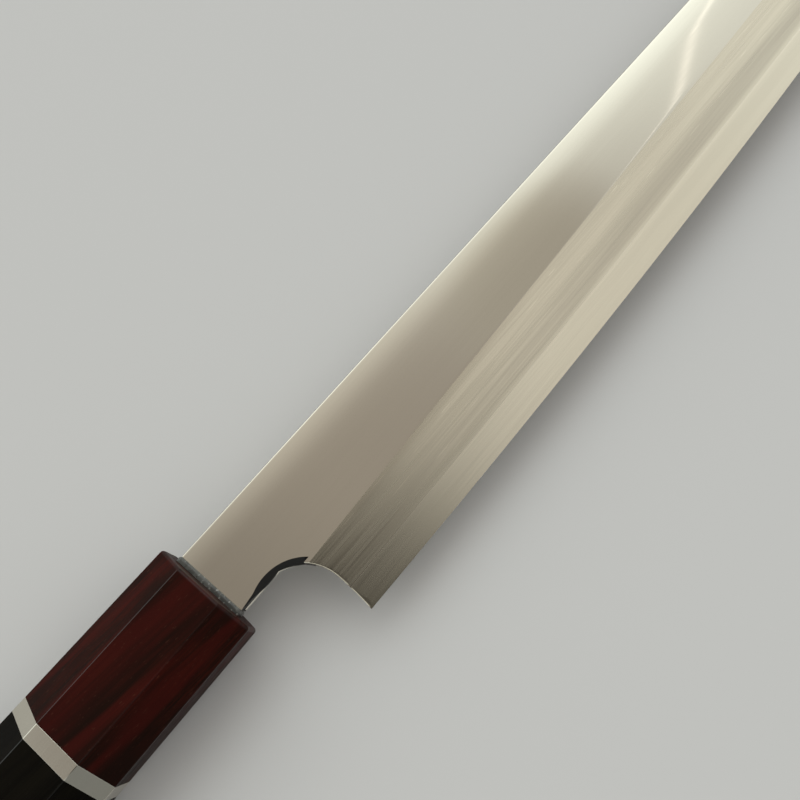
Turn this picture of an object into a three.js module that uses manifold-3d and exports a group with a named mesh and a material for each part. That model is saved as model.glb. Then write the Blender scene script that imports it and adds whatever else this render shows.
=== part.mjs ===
// Sakimaru takohiki: a long single-bevel slicing knife with a sword-like tip, on an eight-sided
// wooden handle. Millimetres. The knife lies on the handle's lower side facet, bevelled face up:
// +X runs to the tip, +Y to the spine, +Z up. The pieces are laid out from the middle of the
// ferrule's front face, and the whole is then set down on its own bottom centre.

import * as THREE from "three";
import { mergeVertices } from "three/addons/utils/BufferGeometryUtils.js";
import Module from "manifold-3d";

const wasm = await Module();
wasm.setup();

// Blade outline. The shoulder is where the blade's neck stops at the handle.
const BLADE_LENGTH = 300; // shoulder to tip
const BLADE_HEIGHT = 34.75; // spine to edge, where the edge hangs lowest
const LOWEST_EDGE_FROM_SHOULDER = 37;
const HEIGHT_AT_TIP_CURVE = 26.5; // spine to edge, where the tip's curve begins
const TIP_CURVE_LENGTH = 36;
const TIP_CURVE_REACH = 46; // half axis of the tip's ellipse along the blade
const POINT_HEIGHT = 0.5; // blunt width left at the very tip
const SPINE_ABOVE_AXIS = 8.4; // spine above the handle's axis

// Blade faces: the polished flat, the ridge below it and the bevel down to the edge.
const NECK_THICKNESS = 4.2;
const TIP_THICKNESS = 1.6; // where the spine's taper would reach the tip
const POINT_THICKNESS = 0.4;
const FLAT_WIDTH_AT_HEEL = 19.8; // spine to ridge
const FLAT_WIDTH_AT_TIP_CURVE = 10.9;
const FLAT_FALL_AT_HEEL = 0.3; // the flat is this much thinner at the ridge than at the spine
const RIDGE_END_FROM_TIP = 15; // where the ridge runs out into the spine
const RIDGE_LAND = 0.1; // sliver of flat kept past the ridge's end
const SPINE_EASE = 0.45; // radius on the spine's corners

// Neck and the round notch between the neck and the heel.
const NECK_HEIGHT = 16; // spine to underside
const HEEL_FROM_SHOULDER = 16.3;
const HEEL_BOW = 0.5; // how far the notch reaches ahead of the heel's point
const NOTCH_RADIUS = 10.5;
const NOTCH_CENTRE_DROP = 9.85; // notch centre below the neck's underside
const SCOOP_FRONT_GAIN = 0.5; // the neck's scooped chamfer is wider than the notch at the front
const SCOOP_BACK_LOSS = 0.7; // and narrower at the back
const SCOOP_AHEAD = 1.1; // its centre lies this far ahead of the notch's
const SCOOP_ABOVE_RIDGE = 0.75; // it stops at a small step this far above the ridge
const SCOOP_SWEEP = 150; // degrees about its centre

// Hard edge steel, a layer on the blade's back, hollow ground between two flat rims.
const EDGE_STEEL_FROM_SHOULDER = 16.1; // just past the scoop's end
const EDGE_STEEL_AT_SHOULDER = 1.5; // layer thickness
const EDGE_STEEL_AT_TIP = 0.45;
const WELD_GAP = 0.02; // line of the forge weld
const HOLLOW_DEPTH = 0.35;
const HOLLOW_EDGE_RIM = 1.6;
const HOLLOW_SPINE_RIM = 2.4;
const HOLLOW_FROM_HEEL = 3;
const HOLLOW_RUN_IN = 16;
const HOLLOW_END_FROM_TIP = 12;

// Tang, inside the handle.
const TANG_LENGTH = 100; // behind the ferrule's front face
const TANG_HEIGHT = 8.5;
const TANG_END_HEIGHT = 5;
const TANG_FACE_STEP = 0.4; // the tang is thinner than the neck by this on each face
const TANG_END_THICKNESS = 2.2;
const TANG_ROOT = 2; // length of tang merged into the neck

// Handle: ferrule, ring and body in one tapering eight-sided form with parallel side facets.
const FERRULE_LENGTH = 35.6;
const RING_LENGTH = 3.3;
const BODY_LENGTH = 110;
const HANDLE_THICKNESS = 19.8; // across the two side facets
const HANDLE_HEIGHT_FRONT = 23;
const HANDLE_HEIGHT_BUTT = 26.4;
const SIDE_FACET_FRONT = 10.1; // width of a side facet
const SIDE_FACET_BUTT = 11.7;
const CORNER_FACET_ANGLE = 41.5; // degrees from a side facet
const FERRULE_EDGE = 0.8; // chamfer around the front face
const BUTT_EDGE = 1.5;

// Inside the handle.
const FERRULE_MOUTH_DEPTH = 14; // solid wood ahead of the dowel
const DOWEL_DIAMETER = 14;
const DOWEL_PAST_TANG = 6;
const DOWEL_CLEARANCE = 0.3;
const BEDDING_WALL = 0.5;
const TANG_CLEARANCE = 0.2;
const SLOT_CLEARANCE = 0.2;

// Clear bead between the ferrule's face and the blade's shoulder.
const SEAL_LENGTH = 1.2;
const SEAL_PROUD_OF_FACES = 0.7;
const SEAL_PROUD_OF_ENDS = 0.15;
const SEAL_CORNER = 0.8;
const SEAL_ROUNDING = 0.45;

// Fineness of the round and swept stretches, and how far cutters reach past what they cut.
const BLADE_STEPS = 22;
const TIP_STEPS = 22;
const HOLLOW_STEPS = 8;
const CORNER_STEPS = 3;
const NOTCH_STEPS = 24;
const DOWEL_SIDES = 48;
const CUT_PAST = 5;

// Places that follow from the sizes above, along the knife.
const shoulderX = SEAL_LENGTH;
const steelX = shoulderX + EDGE_STEEL_FROM_SHOULDER;
const heelX = shoulderX + HEEL_FROM_SHOULDER;
const lowestX = shoulderX + LOWEST_EDGE_FROM_SHOULDER;
const tipX = shoulderX + BLADE_LENGTH;
const tipCurveX = tipX - TIP_CURVE_LENGTH;
const ridgeEndX = tipX - RIDGE_END_FROM_TIP;
const ringX = -FERRULE_LENGTH;
const bodyX = ringX - RING_LENGTH;
const buttX = bodyX - BODY_LENGTH;
const beddingEndX = -TANG_LENGTH - TANG_CLEARANCE - BEDDING_WALL;
const dowelEndX = beddingEndX - DOWEL_PAST_TANG;

// And across it.
const spineY = SPINE_ABOVE_AXIS;
const undersideY = spineY - NECK_HEIGHT;
const backZ = -NECK_THICKNESS / 2;
const frontZ = NECK_THICKNESS / 2;
const notchX = heelX + HEEL_BOW - NOTCH_RADIUS;
const notchY = undersideY - NOTCH_CENTRE_DROP;
const halfThickness = HANDLE_THICKNESS / 2;
const tangThickness = NECK_THICKNESS - 2 * TANG_FACE_STEP;
const beddingHeight = TANG_HEIGHT + 2 * (TANG_CLEARANCE + BEDDING_WALL);
const beddingThickness = tangThickness + 2 * (TANG_CLEARANCE + BEDDING_WALL);

const { clamp, degToRad, lerp } = THREE.MathUtils;

// Share of the way from start to end, kept between 0 and 1.
function share(x, start, end) {
  return clamp((x - start) / (end - start), 0, 1);
}

// A closed solid through rings of points given in order along the sweep, anticlockwise as seen
// from its far end, with a fan of triangles over each end.
function loft(rings) {
  const count = rings[0].length;
  const middle = (ring) => ring.reduce((sum, p) => sum.add(p), new THREE.Vector3()).divideScalar(count);
  const points = [...rings.flat(), middle(rings[0]), middle(rings.at(-1))];
  const startHub = points.length - 2;
  const endHub = points.length - 1;
  const lastRing = (rings.length - 1) * count;
  const index = [];
  for (let k = 0; k < count; k += 1) {
    const next = (k + 1) % count;
    index.push(startHub, next, k, endHub, lastRing + k, lastRing + next);
    for (let first = 0; first < lastRing; first += count) {
      const [a, b, c, d] = [first + k, first + next, first + count + k, first + count + next];
      index.push(a, b, d, a, d, c);
    }
  }
  return new THREE.BufferGeometry().setFromPoints(points).setIndex(index);
}

// A geometry as a solid that can be joined and cut.
function solid(geometry) {
  const bare = geometry.clone();
  bare.deleteAttribute("normal");
  bare.deleteAttribute("uv");
  const merged = mergeVertices(bare);
  return new wasm.Manifold(
    new wasm.Mesh({
      numProp: 3,
      vertProperties: merged.attributes.position.array,
      triVerts: new Uint32Array(merged.index.array),
    }),
  );
}

// A joined and cut solid back as a geometry.
function geometryOf(body) {
  const { vertProperties, triVerts } = body.getMesh();
  const geometry = new THREE.BufferGeometry();
  geometry.setAttribute("position", new THREE.BufferAttribute(vertProperties, 3));
  geometry.setIndex(new THREE.BufferAttribute(triVerts, 1));
  return geometry;
}

function piece(name, geometry, color, roughness, metalness) {
  const flatSided = geometry.toNonIndexed();
  flatSided.computeVertexNormals();
  const mesh = new THREE.Mesh(
    flatSided,
    new THREE.MeshStandardMaterial({ color, roughness, metalness }),
  );
  mesh.name = name;
  return mesh;
}

// A straight-sided block centred on the handle's axis, from one station to another.
function block(startX, endX, height, thickness) {
  const box = new THREE.BoxGeometry(endX - startX, height, thickness);
  return box.translate((startX + endX) / 2, 0, 0);
}

function rod(startX, endX, diameter) {
  const radius = diameter / 2;
  const cylinder = new THREE.CylinderGeometry(radius, radius, endX - startX, DOWEL_SIDES);
  return cylinder.rotateZ(Math.PI / 2).translate((startX + endX) / 2, 0, 0);
}

// Fall of the tip's ellipse after a run along it, as a share of the ellipse's other half axis.
function ellipseFall(run) {
  return 1 - Math.sqrt(1 - (run / TIP_CURVE_REACH) ** 2);
}

// Spine to edge without the tip's curve: a shallow parabola, lowest a little ahead of the heel.
function beltHeight(x) {
  const along = (x - lowestX) / (tipCurveX - lowestX);
  return BLADE_HEIGHT - (BLADE_HEIGHT - HEIGHT_AT_TIP_CURVE) * along ** 2;
}

function bladeHeight(x) {
  const run = Math.max(0, x - tipCurveX);
  const curl = ellipseFall(run) / ellipseFall(TIP_CURVE_LENGTH);
  return beltHeight(x) - (beltHeight(tipX) - POINT_HEIGHT) * curl;
}

// Spine to ridge: a straight taper that sweeps up into the spine along the tip's curve.
function flatWidth(x) {
  const along = (x - heelX) / (tipCurveX - heelX);
  const straight = lerp(FLAT_WIDTH_AT_HEEL, FLAT_WIDTH_AT_TIP_CURVE, along);
  const sweep = share(x, tipCurveX, ridgeEndX);
  return Math.max(RIDGE_LAND, straight * (1 - sweep ** 2));
}

// Past the ridge's end the bevel cuts the spine down to the point.
function thinning(x) {
  if (x <= ridgeEndX) {
    return 1;
  }
  const left = (bladeHeight(x) - POINT_HEIGHT) / (bladeHeight(ridgeEndX) - POINT_HEIGHT);
  return lerp(POINT_THICKNESS / spineTaper(ridgeEndX), 1, left);
}

function spineTaper(x) {
  return lerp(NECK_THICKNESS, TIP_THICKNESS, (x - shoulderX) / BLADE_LENGTH);
}

function spineThickness(x) {
  return spineTaper(Math.min(x, ridgeEndX)) * thinning(x);
}

// The flat is one plane, from the spine's rounded corner down to the ridge.
function ridgeThickness(x) {
  const slope = FLAT_FALL_AT_HEEL / (FLAT_WIDTH_AT_HEEL - SPINE_EASE);
  return spineThickness(x) - slope * Math.max(0, flatWidth(x) - SPINE_EASE);
}

function layerThickness(x) {
  const along = (Math.min(x, ridgeEndX) - shoulderX) / BLADE_LENGTH;
  return lerp(EDGE_STEEL_AT_SHOULDER, EDGE_STEEL_AT_TIP, along) * thinning(x);
}

// Point on the bevel at a given height above the back plane.
function bevelPoint(x, height) {
  const ridgeY = spineY - flatWidth(x);
  const edgeY = spineY - bladeHeight(x);
  return new THREE.Vector3(x, lerp(edgeY, ridgeY, height / ridgeThickness(x)), backZ + height);
}

// Quarter round on one of the spine's corners, from the spine's side to the face.
function spineCorner(x, faceZ, ease, outward) {
  const corner = [];
  for (let k = 0; k <= CORNER_STEPS; k += 1) {
    const turn = (k / CORNER_STEPS) * (Math.PI / 2);
    const y = spineY - ease * (1 - Math.cos(turn));
    const z = faceZ - outward * ease * (1 - Math.sin(turn));
    corner.push(new THREE.Vector3(x, y, z));
  }
  return corner;
}

// Section of the cladding: its underside, the spine, the flat and the bevel.
function claddingRing(x, underside) {
  const thickness = spineThickness(x);
  const ease = Math.min(SPINE_EASE, flatWidth(x) / 2, (thickness - underside) / 2);
  return [
    bevelPoint(x, underside),
    new THREE.Vector3(x, spineY, backZ + underside),
    ...spineCorner(x, backZ + thickness, ease, 1),
    bevelPoint(x, ridgeThickness(x)),
  ];
}

// Depth of the hollow back along the blade, running in and out smoothly.
function hollowDepth(x) {
  const start = heelX + HOLLOW_FROM_HEEL;
  const end = tipX - HOLLOW_END_FROM_TIP;
  const runIn = THREE.MathUtils.smoothstep(x, start, start + HOLLOW_RUN_IN);
  const runOut = 1 - THREE.MathUtils.smoothstep(x, tipCurveX, end);
  return HOLLOW_DEPTH * runIn * runOut;
}

// Section of the edge steel: edge, flat rim, hollow, flat rim, spine and the welded face.
function edgeSteelRing(x) {
  const layer = layerThickness(x);
  const height = bladeHeight(x);
  const edgeY = spineY - height;
  const hollowStartY = edgeY + Math.min(HOLLOW_EDGE_RIM, height / 4);
  const hollowEndY = spineY - Math.min(HOLLOW_SPINE_RIM, height / 4);
  const ease = Math.min(SPINE_EASE, layer / 2, height / 8);
  const hollow = [];
  for (let k = 0; k <= HOLLOW_STEPS; k += 1) {
    const along = k / HOLLOW_STEPS;
    const lift = hollowDepth(x) * (1 - (2 * along - 1) ** 2);
    hollow.push(new THREE.Vector3(x, lerp(hollowStartY, hollowEndY, along), backZ + lift));
  }
  return [
    new THREE.Vector3(x, edgeY, backZ),
    ...hollow,
    ...spineCorner(x, backZ, ease, -1).reverse(),
    new THREE.Vector3(x, spineY, backZ + layer),
    bevelPoint(x, layer),
  ];
}

// Stations along the blade: even up to the tip's curve, then closer and closer to the point.
function bladeStations(startX) {
  const stations = [];
  for (let k = 0; k < BLADE_STEPS; k += 1) {
    stations.push(lerp(startX, tipCurveX, k / BLADE_STEPS));
  }
  for (let k = 0; k <= TIP_STEPS; k += 1) {
    stations.push(tipCurveX + TIP_CURVE_LENGTH * Math.sin((k / TIP_STEPS) * (Math.PI / 2)));
  }
  return stations;
}

// Cutter for the notch: under the neck, round its inner corner and down the bowed heel.
function notchCutter() {
  const heelY = spineY - bladeHeight(heelX);
  const farX = shoulderX - CUT_PAST;
  const farY = heelY - CUT_PAST;
  const outline = new THREE.Shape();
  outline.moveTo(farX, farY);
  outline.lineTo(heelX, farY);
  outline.lineTo(heelX, heelY);
  outline.quadraticCurveTo(notchX + NOTCH_RADIUS, (heelY + notchY) / 2, notchX + NOTCH_RADIUS, notchY);
  outline.absarc(notchX, notchY, NOTCH_RADIUS, 0, Math.asin(NOTCH_CENTRE_DROP / NOTCH_RADIUS), false);
  outline.lineTo(farX, undersideY);
  const depth = NECK_THICKNESS + 2 * CUT_PAST;
  const cutter = new THREE.ExtrudeGeometry(outline, {
    depth,
    bevelEnabled: false,
    curveSegments: NOTCH_STEPS,
  });
  return solid(cutter.translate(0, 0, backZ - CUT_PAST));
}

// Cutter for the scooped chamfer under the neck: part of a cone that stands in the notch, cut off
// level a little above the ridge.
function scoopCutter() {
  const backRadius = NOTCH_RADIUS - SCOOP_BACK_LOSS;
  const frontRadius = NOTCH_RADIUS + SCOOP_FRONT_GAIN;
  const slope = (frontRadius - backRadius) / NECK_THICKNESS;
  const innerRadius = NOTCH_RADIUS / 2;
  const highZ = frontZ + CUT_PAST;
  const section = [
    [backZ, innerRadius],
    [highZ, innerRadius],
    [highZ, frontRadius + slope * CUT_PAST],
    [backZ, backRadius],
  ];
  const rings = [];
  for (let k = 0; k <= NOTCH_STEPS; k += 1) {
    const turn = degToRad((SCOOP_SWEEP * k) / NOTCH_STEPS);
    rings.push(
      section.map(([z, radius]) => {
        const x = notchX + SCOOP_AHEAD + radius * Math.cos(turn);
        const y = notchY + radius * Math.sin(turn);
        return new THREE.Vector3(x, y, z);
      }),
    );
  }
  const stepY = spineY - FLAT_WIDTH_AT_HEEL + SCOOP_ABOVE_RIDGE;
  const reach = 2 * NOTCH_RADIUS + 2 * CUT_PAST;
  const below = new THREE.BoxGeometry(2 * reach, reach, reach);
  return solid(loft(rings)).subtract(solid(below.translate(notchX, stepY - reach / 2, 0)));
}

// Tapering tang, or the room for it when it is grown on every side.
function tang(grow) {
  const ring = (x, height, thickness) => {
    const y = height / 2 + grow;
    const z = thickness / 2 + grow;
    return [
      new THREE.Vector3(x, -y, -z),
      new THREE.Vector3(x, y, -z),
      new THREE.Vector3(x, y, z),
      new THREE.Vector3(x, -y, z),
    ];
  };
  return loft([
    ring(-TANG_LENGTH - grow, TANG_END_HEIGHT, TANG_END_THICKNESS),
    ring(0, TANG_HEIGHT, tangThickness),
    ring(shoulderX + TANG_ROOT, TANG_HEIGHT, tangThickness),
  ]);
}

// The neck is cladding right through; ahead of it the cladding lies on the edge steel.
function bladeCladding() {
  const stepX = steelX - 2 * WELD_GAP;
  const neckRings = [claddingRing(shoulderX, 0), claddingRing(stepX, 0)];
  const bladeRings = bladeStations(steelX - WELD_GAP).map((x) =>
    claddingRing(x, layerThickness(x) + WELD_GAP),
  );
  const body = solid(loft([...neckRings, ...bladeRings]))
    .subtract(notchCutter())
    .subtract(scoopCutter())
    .add(solid(tang(0)));
  return piece("blade_cladding", geometryOf(body), 0xb9b4a8, 0.22, 1);
}

function edgeSteel() {
  const body = solid(loft(bladeStations(steelX).map(edgeSteelRing)))
    .subtract(notchCutter())
    .subtract(scoopCutter());
  return piece("edge_steel", geometryOf(body), 0xc8c5bd, 0.28, 1);
}

// Eight-sided section of the handle, drawn in by an inset for chamfered ends.
function handleRing(x, inset) {
  const along = x / buttX;
  const angle = degToRad(CORNER_FACET_ANGLE);
  const fullHeight = lerp(HANDLE_HEIGHT_FRONT, HANDLE_HEIGHT_BUTT, along) / 2;
  const fullFacet = lerp(SIDE_FACET_FRONT, SIDE_FACET_BUTT, along) / 2;
  const fullEndFacet = halfThickness - Math.tan(angle) * (fullHeight - fullFacet);
  const y = fullHeight - inset;
  const z = halfThickness - inset;
  const facetY = fullFacet - inset * Math.tan(angle / 2);
  const facetZ = fullEndFacet - (inset * (1 - Math.sin(angle))) / Math.cos(angle);
  const outline = [
    [y, -facetZ],
    [y, facetZ],
    [facetY, z],
    [-facetY, z],
    [-y, facetZ],
    [-y, -facetZ],
    [-facetY, -z],
    [facetY, -z],
  ];
  return outline.map(([py, pz]) => new THREE.Vector3(x, py, pz));
}

function dowelBore(startX, endX) {
  return solid(rod(startX, endX, DOWEL_DIAMETER + 2 * DOWEL_CLEARANCE));
}

function beddingSlot(startX, endX) {
  const height = beddingHeight + 2 * SLOT_CLEARANCE;
  const thickness = beddingThickness + 2 * SLOT_CLEARANCE;
  return solid(block(startX, endX, height, thickness));
}

function ferrule() {
  const outside = loft([
    handleRing(ringX, 0),
    handleRing(-FERRULE_EDGE, 0),
    handleRing(0, FERRULE_EDGE),
  ]);
  const body = solid(outside)
    .subtract(beddingSlot(ringX - CUT_PAST, CUT_PAST))
    .subtract(dowelBore(ringX - CUT_PAST, -FERRULE_MOUTH_DEPTH));
  return piece("ferrule", geometryOf(body), 0x3a0f0d, 0.4, 0);
}

function spacerRing() {
  const outside = loft([handleRing(bodyX, 0), handleRing(ringX, 0)]);
  const body = solid(outside).subtract(dowelBore(bodyX - CUT_PAST, ringX + CUT_PAST));
  return piece("spacer_ring", geometryOf(body), 0xbfb9ab, 0.25, 1);
}

function handleBody() {
  const outside = loft([
    handleRing(buttX, BUTT_EDGE),
    handleRing(buttX + BUTT_EDGE, 0),
    handleRing(bodyX, 0),
  ]);
  const body = solid(outside).subtract(dowelBore(dowelEndX - DOWEL_CLEARANCE, bodyX + CUT_PAST));
  return piece("handle_body", geometryOf(body), 0x17140f, 0.42, 0);
}

function handleDowel() {
  const startX = -FERRULE_MOUTH_DEPTH - DOWEL_CLEARANCE;
  const body = solid(rod(dowelEndX, startX, DOWEL_DIAMETER)).subtract(
    beddingSlot(dowelEndX - CUT_PAST, startX + CUT_PAST),
  );
  return piece("handle_dowel", geometryOf(body), 0xc9a876, 0.7, 0);
}

function tangBedding() {
  const body = solid(block(beddingEndX, 0, beddingHeight, beddingThickness)).subtract(
    solid(tang(TANG_CLEARANCE)),
  );
  return piece("tang_bedding", geometryOf(body), 0x8a7f66, 0.5, 0);
}

// Section of the bead: a rectangle with rounded corners around the neck's outline.
function sealRing(x, drawIn) {
  const middleY = (spineY + undersideY) / 2;
  const halfHeight = NECK_HEIGHT / 2 + SEAL_PROUD_OF_ENDS - SEAL_CORNER;
  const halfDepth = NECK_THICKNESS / 2 + SEAL_PROUD_OF_FACES - SEAL_CORNER;
  const radius = SEAL_CORNER - drawIn;
  const corners = [
    [1, -1, -90],
    [1, 1, 0],
    [-1, 1, 90],
    [-1, -1, 180],
  ];
  return corners.flatMap(([sideY, sideZ, startAngle]) =>
    Array.from({ length: CORNER_STEPS + 1 }, (_, k) => {
      const turn = degToRad(startAngle + (90 * k) / CORNER_STEPS);
      const y = middleY + sideY * halfHeight + radius * Math.cos(turn);
      const z = sideZ * halfDepth + radius * Math.sin(turn);
      return new THREE.Vector3(x, y, z);
    }),
  );
}

function tangSeal() {
  const rings = [sealRing(0, 0), sealRing(SEAL_LENGTH - SEAL_ROUNDING, 0)];
  for (let k = 1; k <= CORNER_STEPS; k += 1) {
    const turn = (k / CORNER_STEPS) * (Math.PI / 2);
    const x = SEAL_LENGTH - SEAL_ROUNDING * (1 - Math.sin(turn));
    rings.push(sealRing(x, SEAL_ROUNDING * (1 - Math.cos(turn))));
  }
  const body = solid(loft(rings)).subtract(solid(tang(TANG_CLEARANCE)));
  return piece("tang_seal", geometryOf(body), 0x5b6165, 0.15, 0);
}

const knife = new THREE.Group();
knife.add(
  bladeCladding(),
  edgeSteel(),
  ferrule(),
  spacerRing(),
  handleBody(),
  handleDowel(),
  tangBedding(),
  tangSeal(),
);

// Set the knife down with its bottom centre at the origin.
const lowestY = Math.min(spineY - BLADE_HEIGHT, -HANDLE_HEIGHT_BUTT / 2);
const highestY = Math.max(spineY, HANDLE_HEIGHT_BUTT / 2);
knife.position.set(-(buttX + tipX) / 2, -(lowestY + highestY) / 2, halfThickness);

const part = new THREE.Group();
part.add(knife);

export default part;
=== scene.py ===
"""Looks of a sakimaru takohiki knife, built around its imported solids.

The knife lies on its handle with the bevelled face up. Lengths are in millimetres in the
knife's own frame: x forward from the ferrule's front face, y from the edge to the spine and
z out of the bevelled face, with y = z = 0 on the handle's axis. KnifeFrame carries them into
the scene, which is in metres.
"""

import logging
import math
from dataclasses import dataclass, field
from enum import IntEnum

import bmesh
import bpy
import numpy as np
from mathutils import Matrix, Vector


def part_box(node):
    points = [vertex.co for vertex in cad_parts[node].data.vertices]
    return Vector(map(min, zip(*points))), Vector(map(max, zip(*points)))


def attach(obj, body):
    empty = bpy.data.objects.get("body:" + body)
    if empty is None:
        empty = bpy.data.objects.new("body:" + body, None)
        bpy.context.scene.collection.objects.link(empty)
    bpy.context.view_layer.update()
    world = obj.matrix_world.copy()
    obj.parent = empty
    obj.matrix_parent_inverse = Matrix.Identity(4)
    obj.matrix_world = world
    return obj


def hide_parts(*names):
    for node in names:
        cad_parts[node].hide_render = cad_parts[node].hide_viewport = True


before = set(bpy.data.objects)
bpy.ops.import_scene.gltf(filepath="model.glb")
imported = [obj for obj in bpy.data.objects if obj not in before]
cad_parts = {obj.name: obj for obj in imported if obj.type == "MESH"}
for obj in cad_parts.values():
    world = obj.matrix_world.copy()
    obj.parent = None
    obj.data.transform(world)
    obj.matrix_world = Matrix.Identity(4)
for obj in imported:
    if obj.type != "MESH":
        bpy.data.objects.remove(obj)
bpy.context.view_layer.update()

LOG = logging.getLogger("knife")
Colour = tuple[float, float, float]
Triple = tuple[float, float, float]
Span = tuple[float, float]

# Lengths, angles and counts for the meshes
MM = 0.001
MERGE_DISTANCE = 0.0004 * MM
SMOOTH_ANGLE = 35.0
SETTLE_ROUNDS = 12
CORNER_REACH = 0.3
CORNER_MOST = 0.25
CORNER_STEPS = (0.5, 0.78, 0.93, 1.0)

# Names of the values that the meshes carry for their finishes
ARRIS_SHARE = "arris"
ZONE_SHARE = "zones"
DOWN_BEVEL = "down_bevel"
DOWN_BAND = "down_band"

# Sockets of the Mix node when it mixes colours
MIX_FACTOR = 0
MIX_FIRST = 6
MIX_SECOND = 7
MIX_RESULT = 2

# Shares and levels that all finishes of a kind have in common
NOISE_ROUGHNESS = 0.55
FINE_SHARE = 0.55
NICK_GAIN = 1.35
FRAYED_LEAST = 0.65
STEEL_SPECULAR = 0.1
WOOD_GLOW = 0.45
WOOD_SMOOTHER = 0.05
WOOD_ROUGHER = 0.07
WOOD_SPECULAR = 0.03
COAT_ROUGHNESS = 0.12
CLOUD_OCTAVES = 1.0
CLOUD_ZONE = (0.62, 0.40)
CLOUD_RANGE = (0.3, 0.7)
SPECK_OCTAVES = 0.0
SPECK_ZONE = (0.66, 0.76)
RESIN_ROUGHER = 0.15


# Frame and mesh helpers

@dataclass(frozen=True)
class KnifeFrame:
    """The knife's own axes: millimetres from the centre of the ferrule's front face."""

    origin: Triple

    @classmethod
    def from_ferrule(cls) -> "KnifeFrame":
        """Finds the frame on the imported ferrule, whose front face is its highest x.

        Returns:
            The frame with its origin in scene metres.
        """
        low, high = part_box("ferrule")
        return cls((high.x, (low.y + high.y) / 2, (low.z + high.z) / 2))

    def place(self, points: np.ndarray) -> np.ndarray:
        """Gives points of this frame as scene points in metres."""
        return points * MM + np.array(self.origin)

    def node_box(self, node: str) -> tuple[np.ndarray, np.ndarray]:
        """Reads a node's box in this frame.

        Args:
            node: name of a CAD node.

        Returns:
            Its lowest and highest corners in millimetres.
        """
        low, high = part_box(node)
        origin = np.array(self.origin)
        return (np.array(low) - origin) / MM, (np.array(high) - origin) / MM


def grid_faces(rows: int, columns: int, wrap_rows: bool, wrap_columns: bool) -> np.ndarray:
    """Joins a grid of points, numbered row by row, into four-sided faces.

    Args:
        rows: number of point rows.
        columns: number of points in a row.
        wrap_rows: True where the last row joins the first.
        wrap_columns: True where a row's last point joins its first.

    Returns:
        An array of four point numbers for each face.
    """
    row = np.arange(rows if wrap_rows else rows - 1)[:, None]
    column = np.arange(columns if wrap_columns else columns - 1)[None, :]
    next_row = (row + 1) % rows
    next_column = (column + 1) % columns
    corners = (
        row * columns + column,
        row * columns + next_column,
        next_row * columns + next_column,
        next_row * columns + column,
    )
    return np.stack(corners, axis=-1).reshape(-1, 4)


def close_seams(mesh: bpy.types.Mesh) -> None:
    """Merges a mesh's doubled points, drops its empty faces and turns the rest outwards.

    Args:
        mesh: the mesh to change.
    """
    work = bmesh.new()
    work.from_mesh(mesh)
    bmesh.ops.remove_doubles(work, verts=work.verts, dist=MERGE_DISTANCE)
    bmesh.ops.dissolve_degenerate(work, dist=MERGE_DISTANCE, edges=work.edges)
    bmesh.ops.recalc_face_normals(work, faces=work.faces)
    work.to_mesh(mesh)
    work.free()


def mark_group_borders(mesh: bpy.types.Mesh) -> None:
    """Makes an edge sharp where the faces on its two sides have different materials.

    Args:
        mesh: a mesh with closed seams whose material indices are set.
    """
    loop_edge = np.empty(len(mesh.loops), dtype=np.int64)
    mesh.loops.foreach_get("edge_index", loop_edge)
    totals = np.empty(len(mesh.polygons), dtype=np.int64)
    mesh.polygons.foreach_get("loop_total", totals)
    groups = np.empty(len(mesh.polygons), dtype=np.int64)
    mesh.polygons.foreach_get("material_index", groups)
    loop_group = np.repeat(groups, totals)
    lowest = np.full(len(mesh.edges), groups.max() + 1)
    highest = np.full(len(mesh.edges), -1)
    np.minimum.at(lowest, loop_edge, loop_group)
    np.maximum.at(highest, loop_edge, loop_group)
    mesh.edges.foreach_set("use_edge_sharp", lowest != highest)


@dataclass
class PieceMesh:
    """A piece's surface as arrays: scene points, four-sided faces and the finish of each face.

    Edges are sharp past sharp_angle in degrees or, where that is 0, between two finishes only.
    The attributes are values at the points, by name, that the finishes read.
    """

    name: str
    node: str
    slot: str
    points: np.ndarray
    faces: np.ndarray
    groups: np.ndarray
    materials: list[bpy.types.Material]
    sharp_angle: float
    attributes: dict[str, np.ndarray]

    def build(self) -> bpy.types.Object:
        """Makes the object, closes its seams and lets it stand for its CAD node.

        Returns:
            The finished piece.
        """
        mesh = bpy.data.meshes.new(self.name)
        mesh.vertices.add(len(self.points))
        mesh.vertices.foreach_set("co", self.points.ravel())
        mesh.loops.add(self.faces.size)
        mesh.loops.foreach_set("vertex_index", self.faces.ravel())
        mesh.polygons.add(len(self.faces))
        mesh.polygons.foreach_set("loop_start", np.arange(0, self.faces.size, self.faces.shape[1]))
        mesh.polygons.foreach_set("material_index", self.groups.ravel())
        mesh.update(calc_edges=True)
        for name, values in self.attributes.items():
            layer = mesh.attributes.new(name, "FLOAT", "POINT")
            layer.data.foreach_set("value", values.ravel())
        close_seams(mesh)
        for material in self.materials:
            mesh.materials.append(material)
        mesh.shade_smooth()
        if self.sharp_angle:
            mesh.set_sharp_from_angle(angle=math.radians(self.sharp_angle))
        else:
            mark_group_borders(mesh)
        piece = bpy.data.objects.new(self.name, mesh)
        bpy.context.scene.collection.objects.link(piece)
        normals = piece.modifiers.new("even_normals", "WEIGHTED_NORMAL")
        normals.keep_sharp = True
        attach(piece, "root")
        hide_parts(self.node)
        LOG.info("%s: %d faces in place of %s", self.name, len(mesh.polygons), self.node)
        return piece


# Shader helpers

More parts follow.
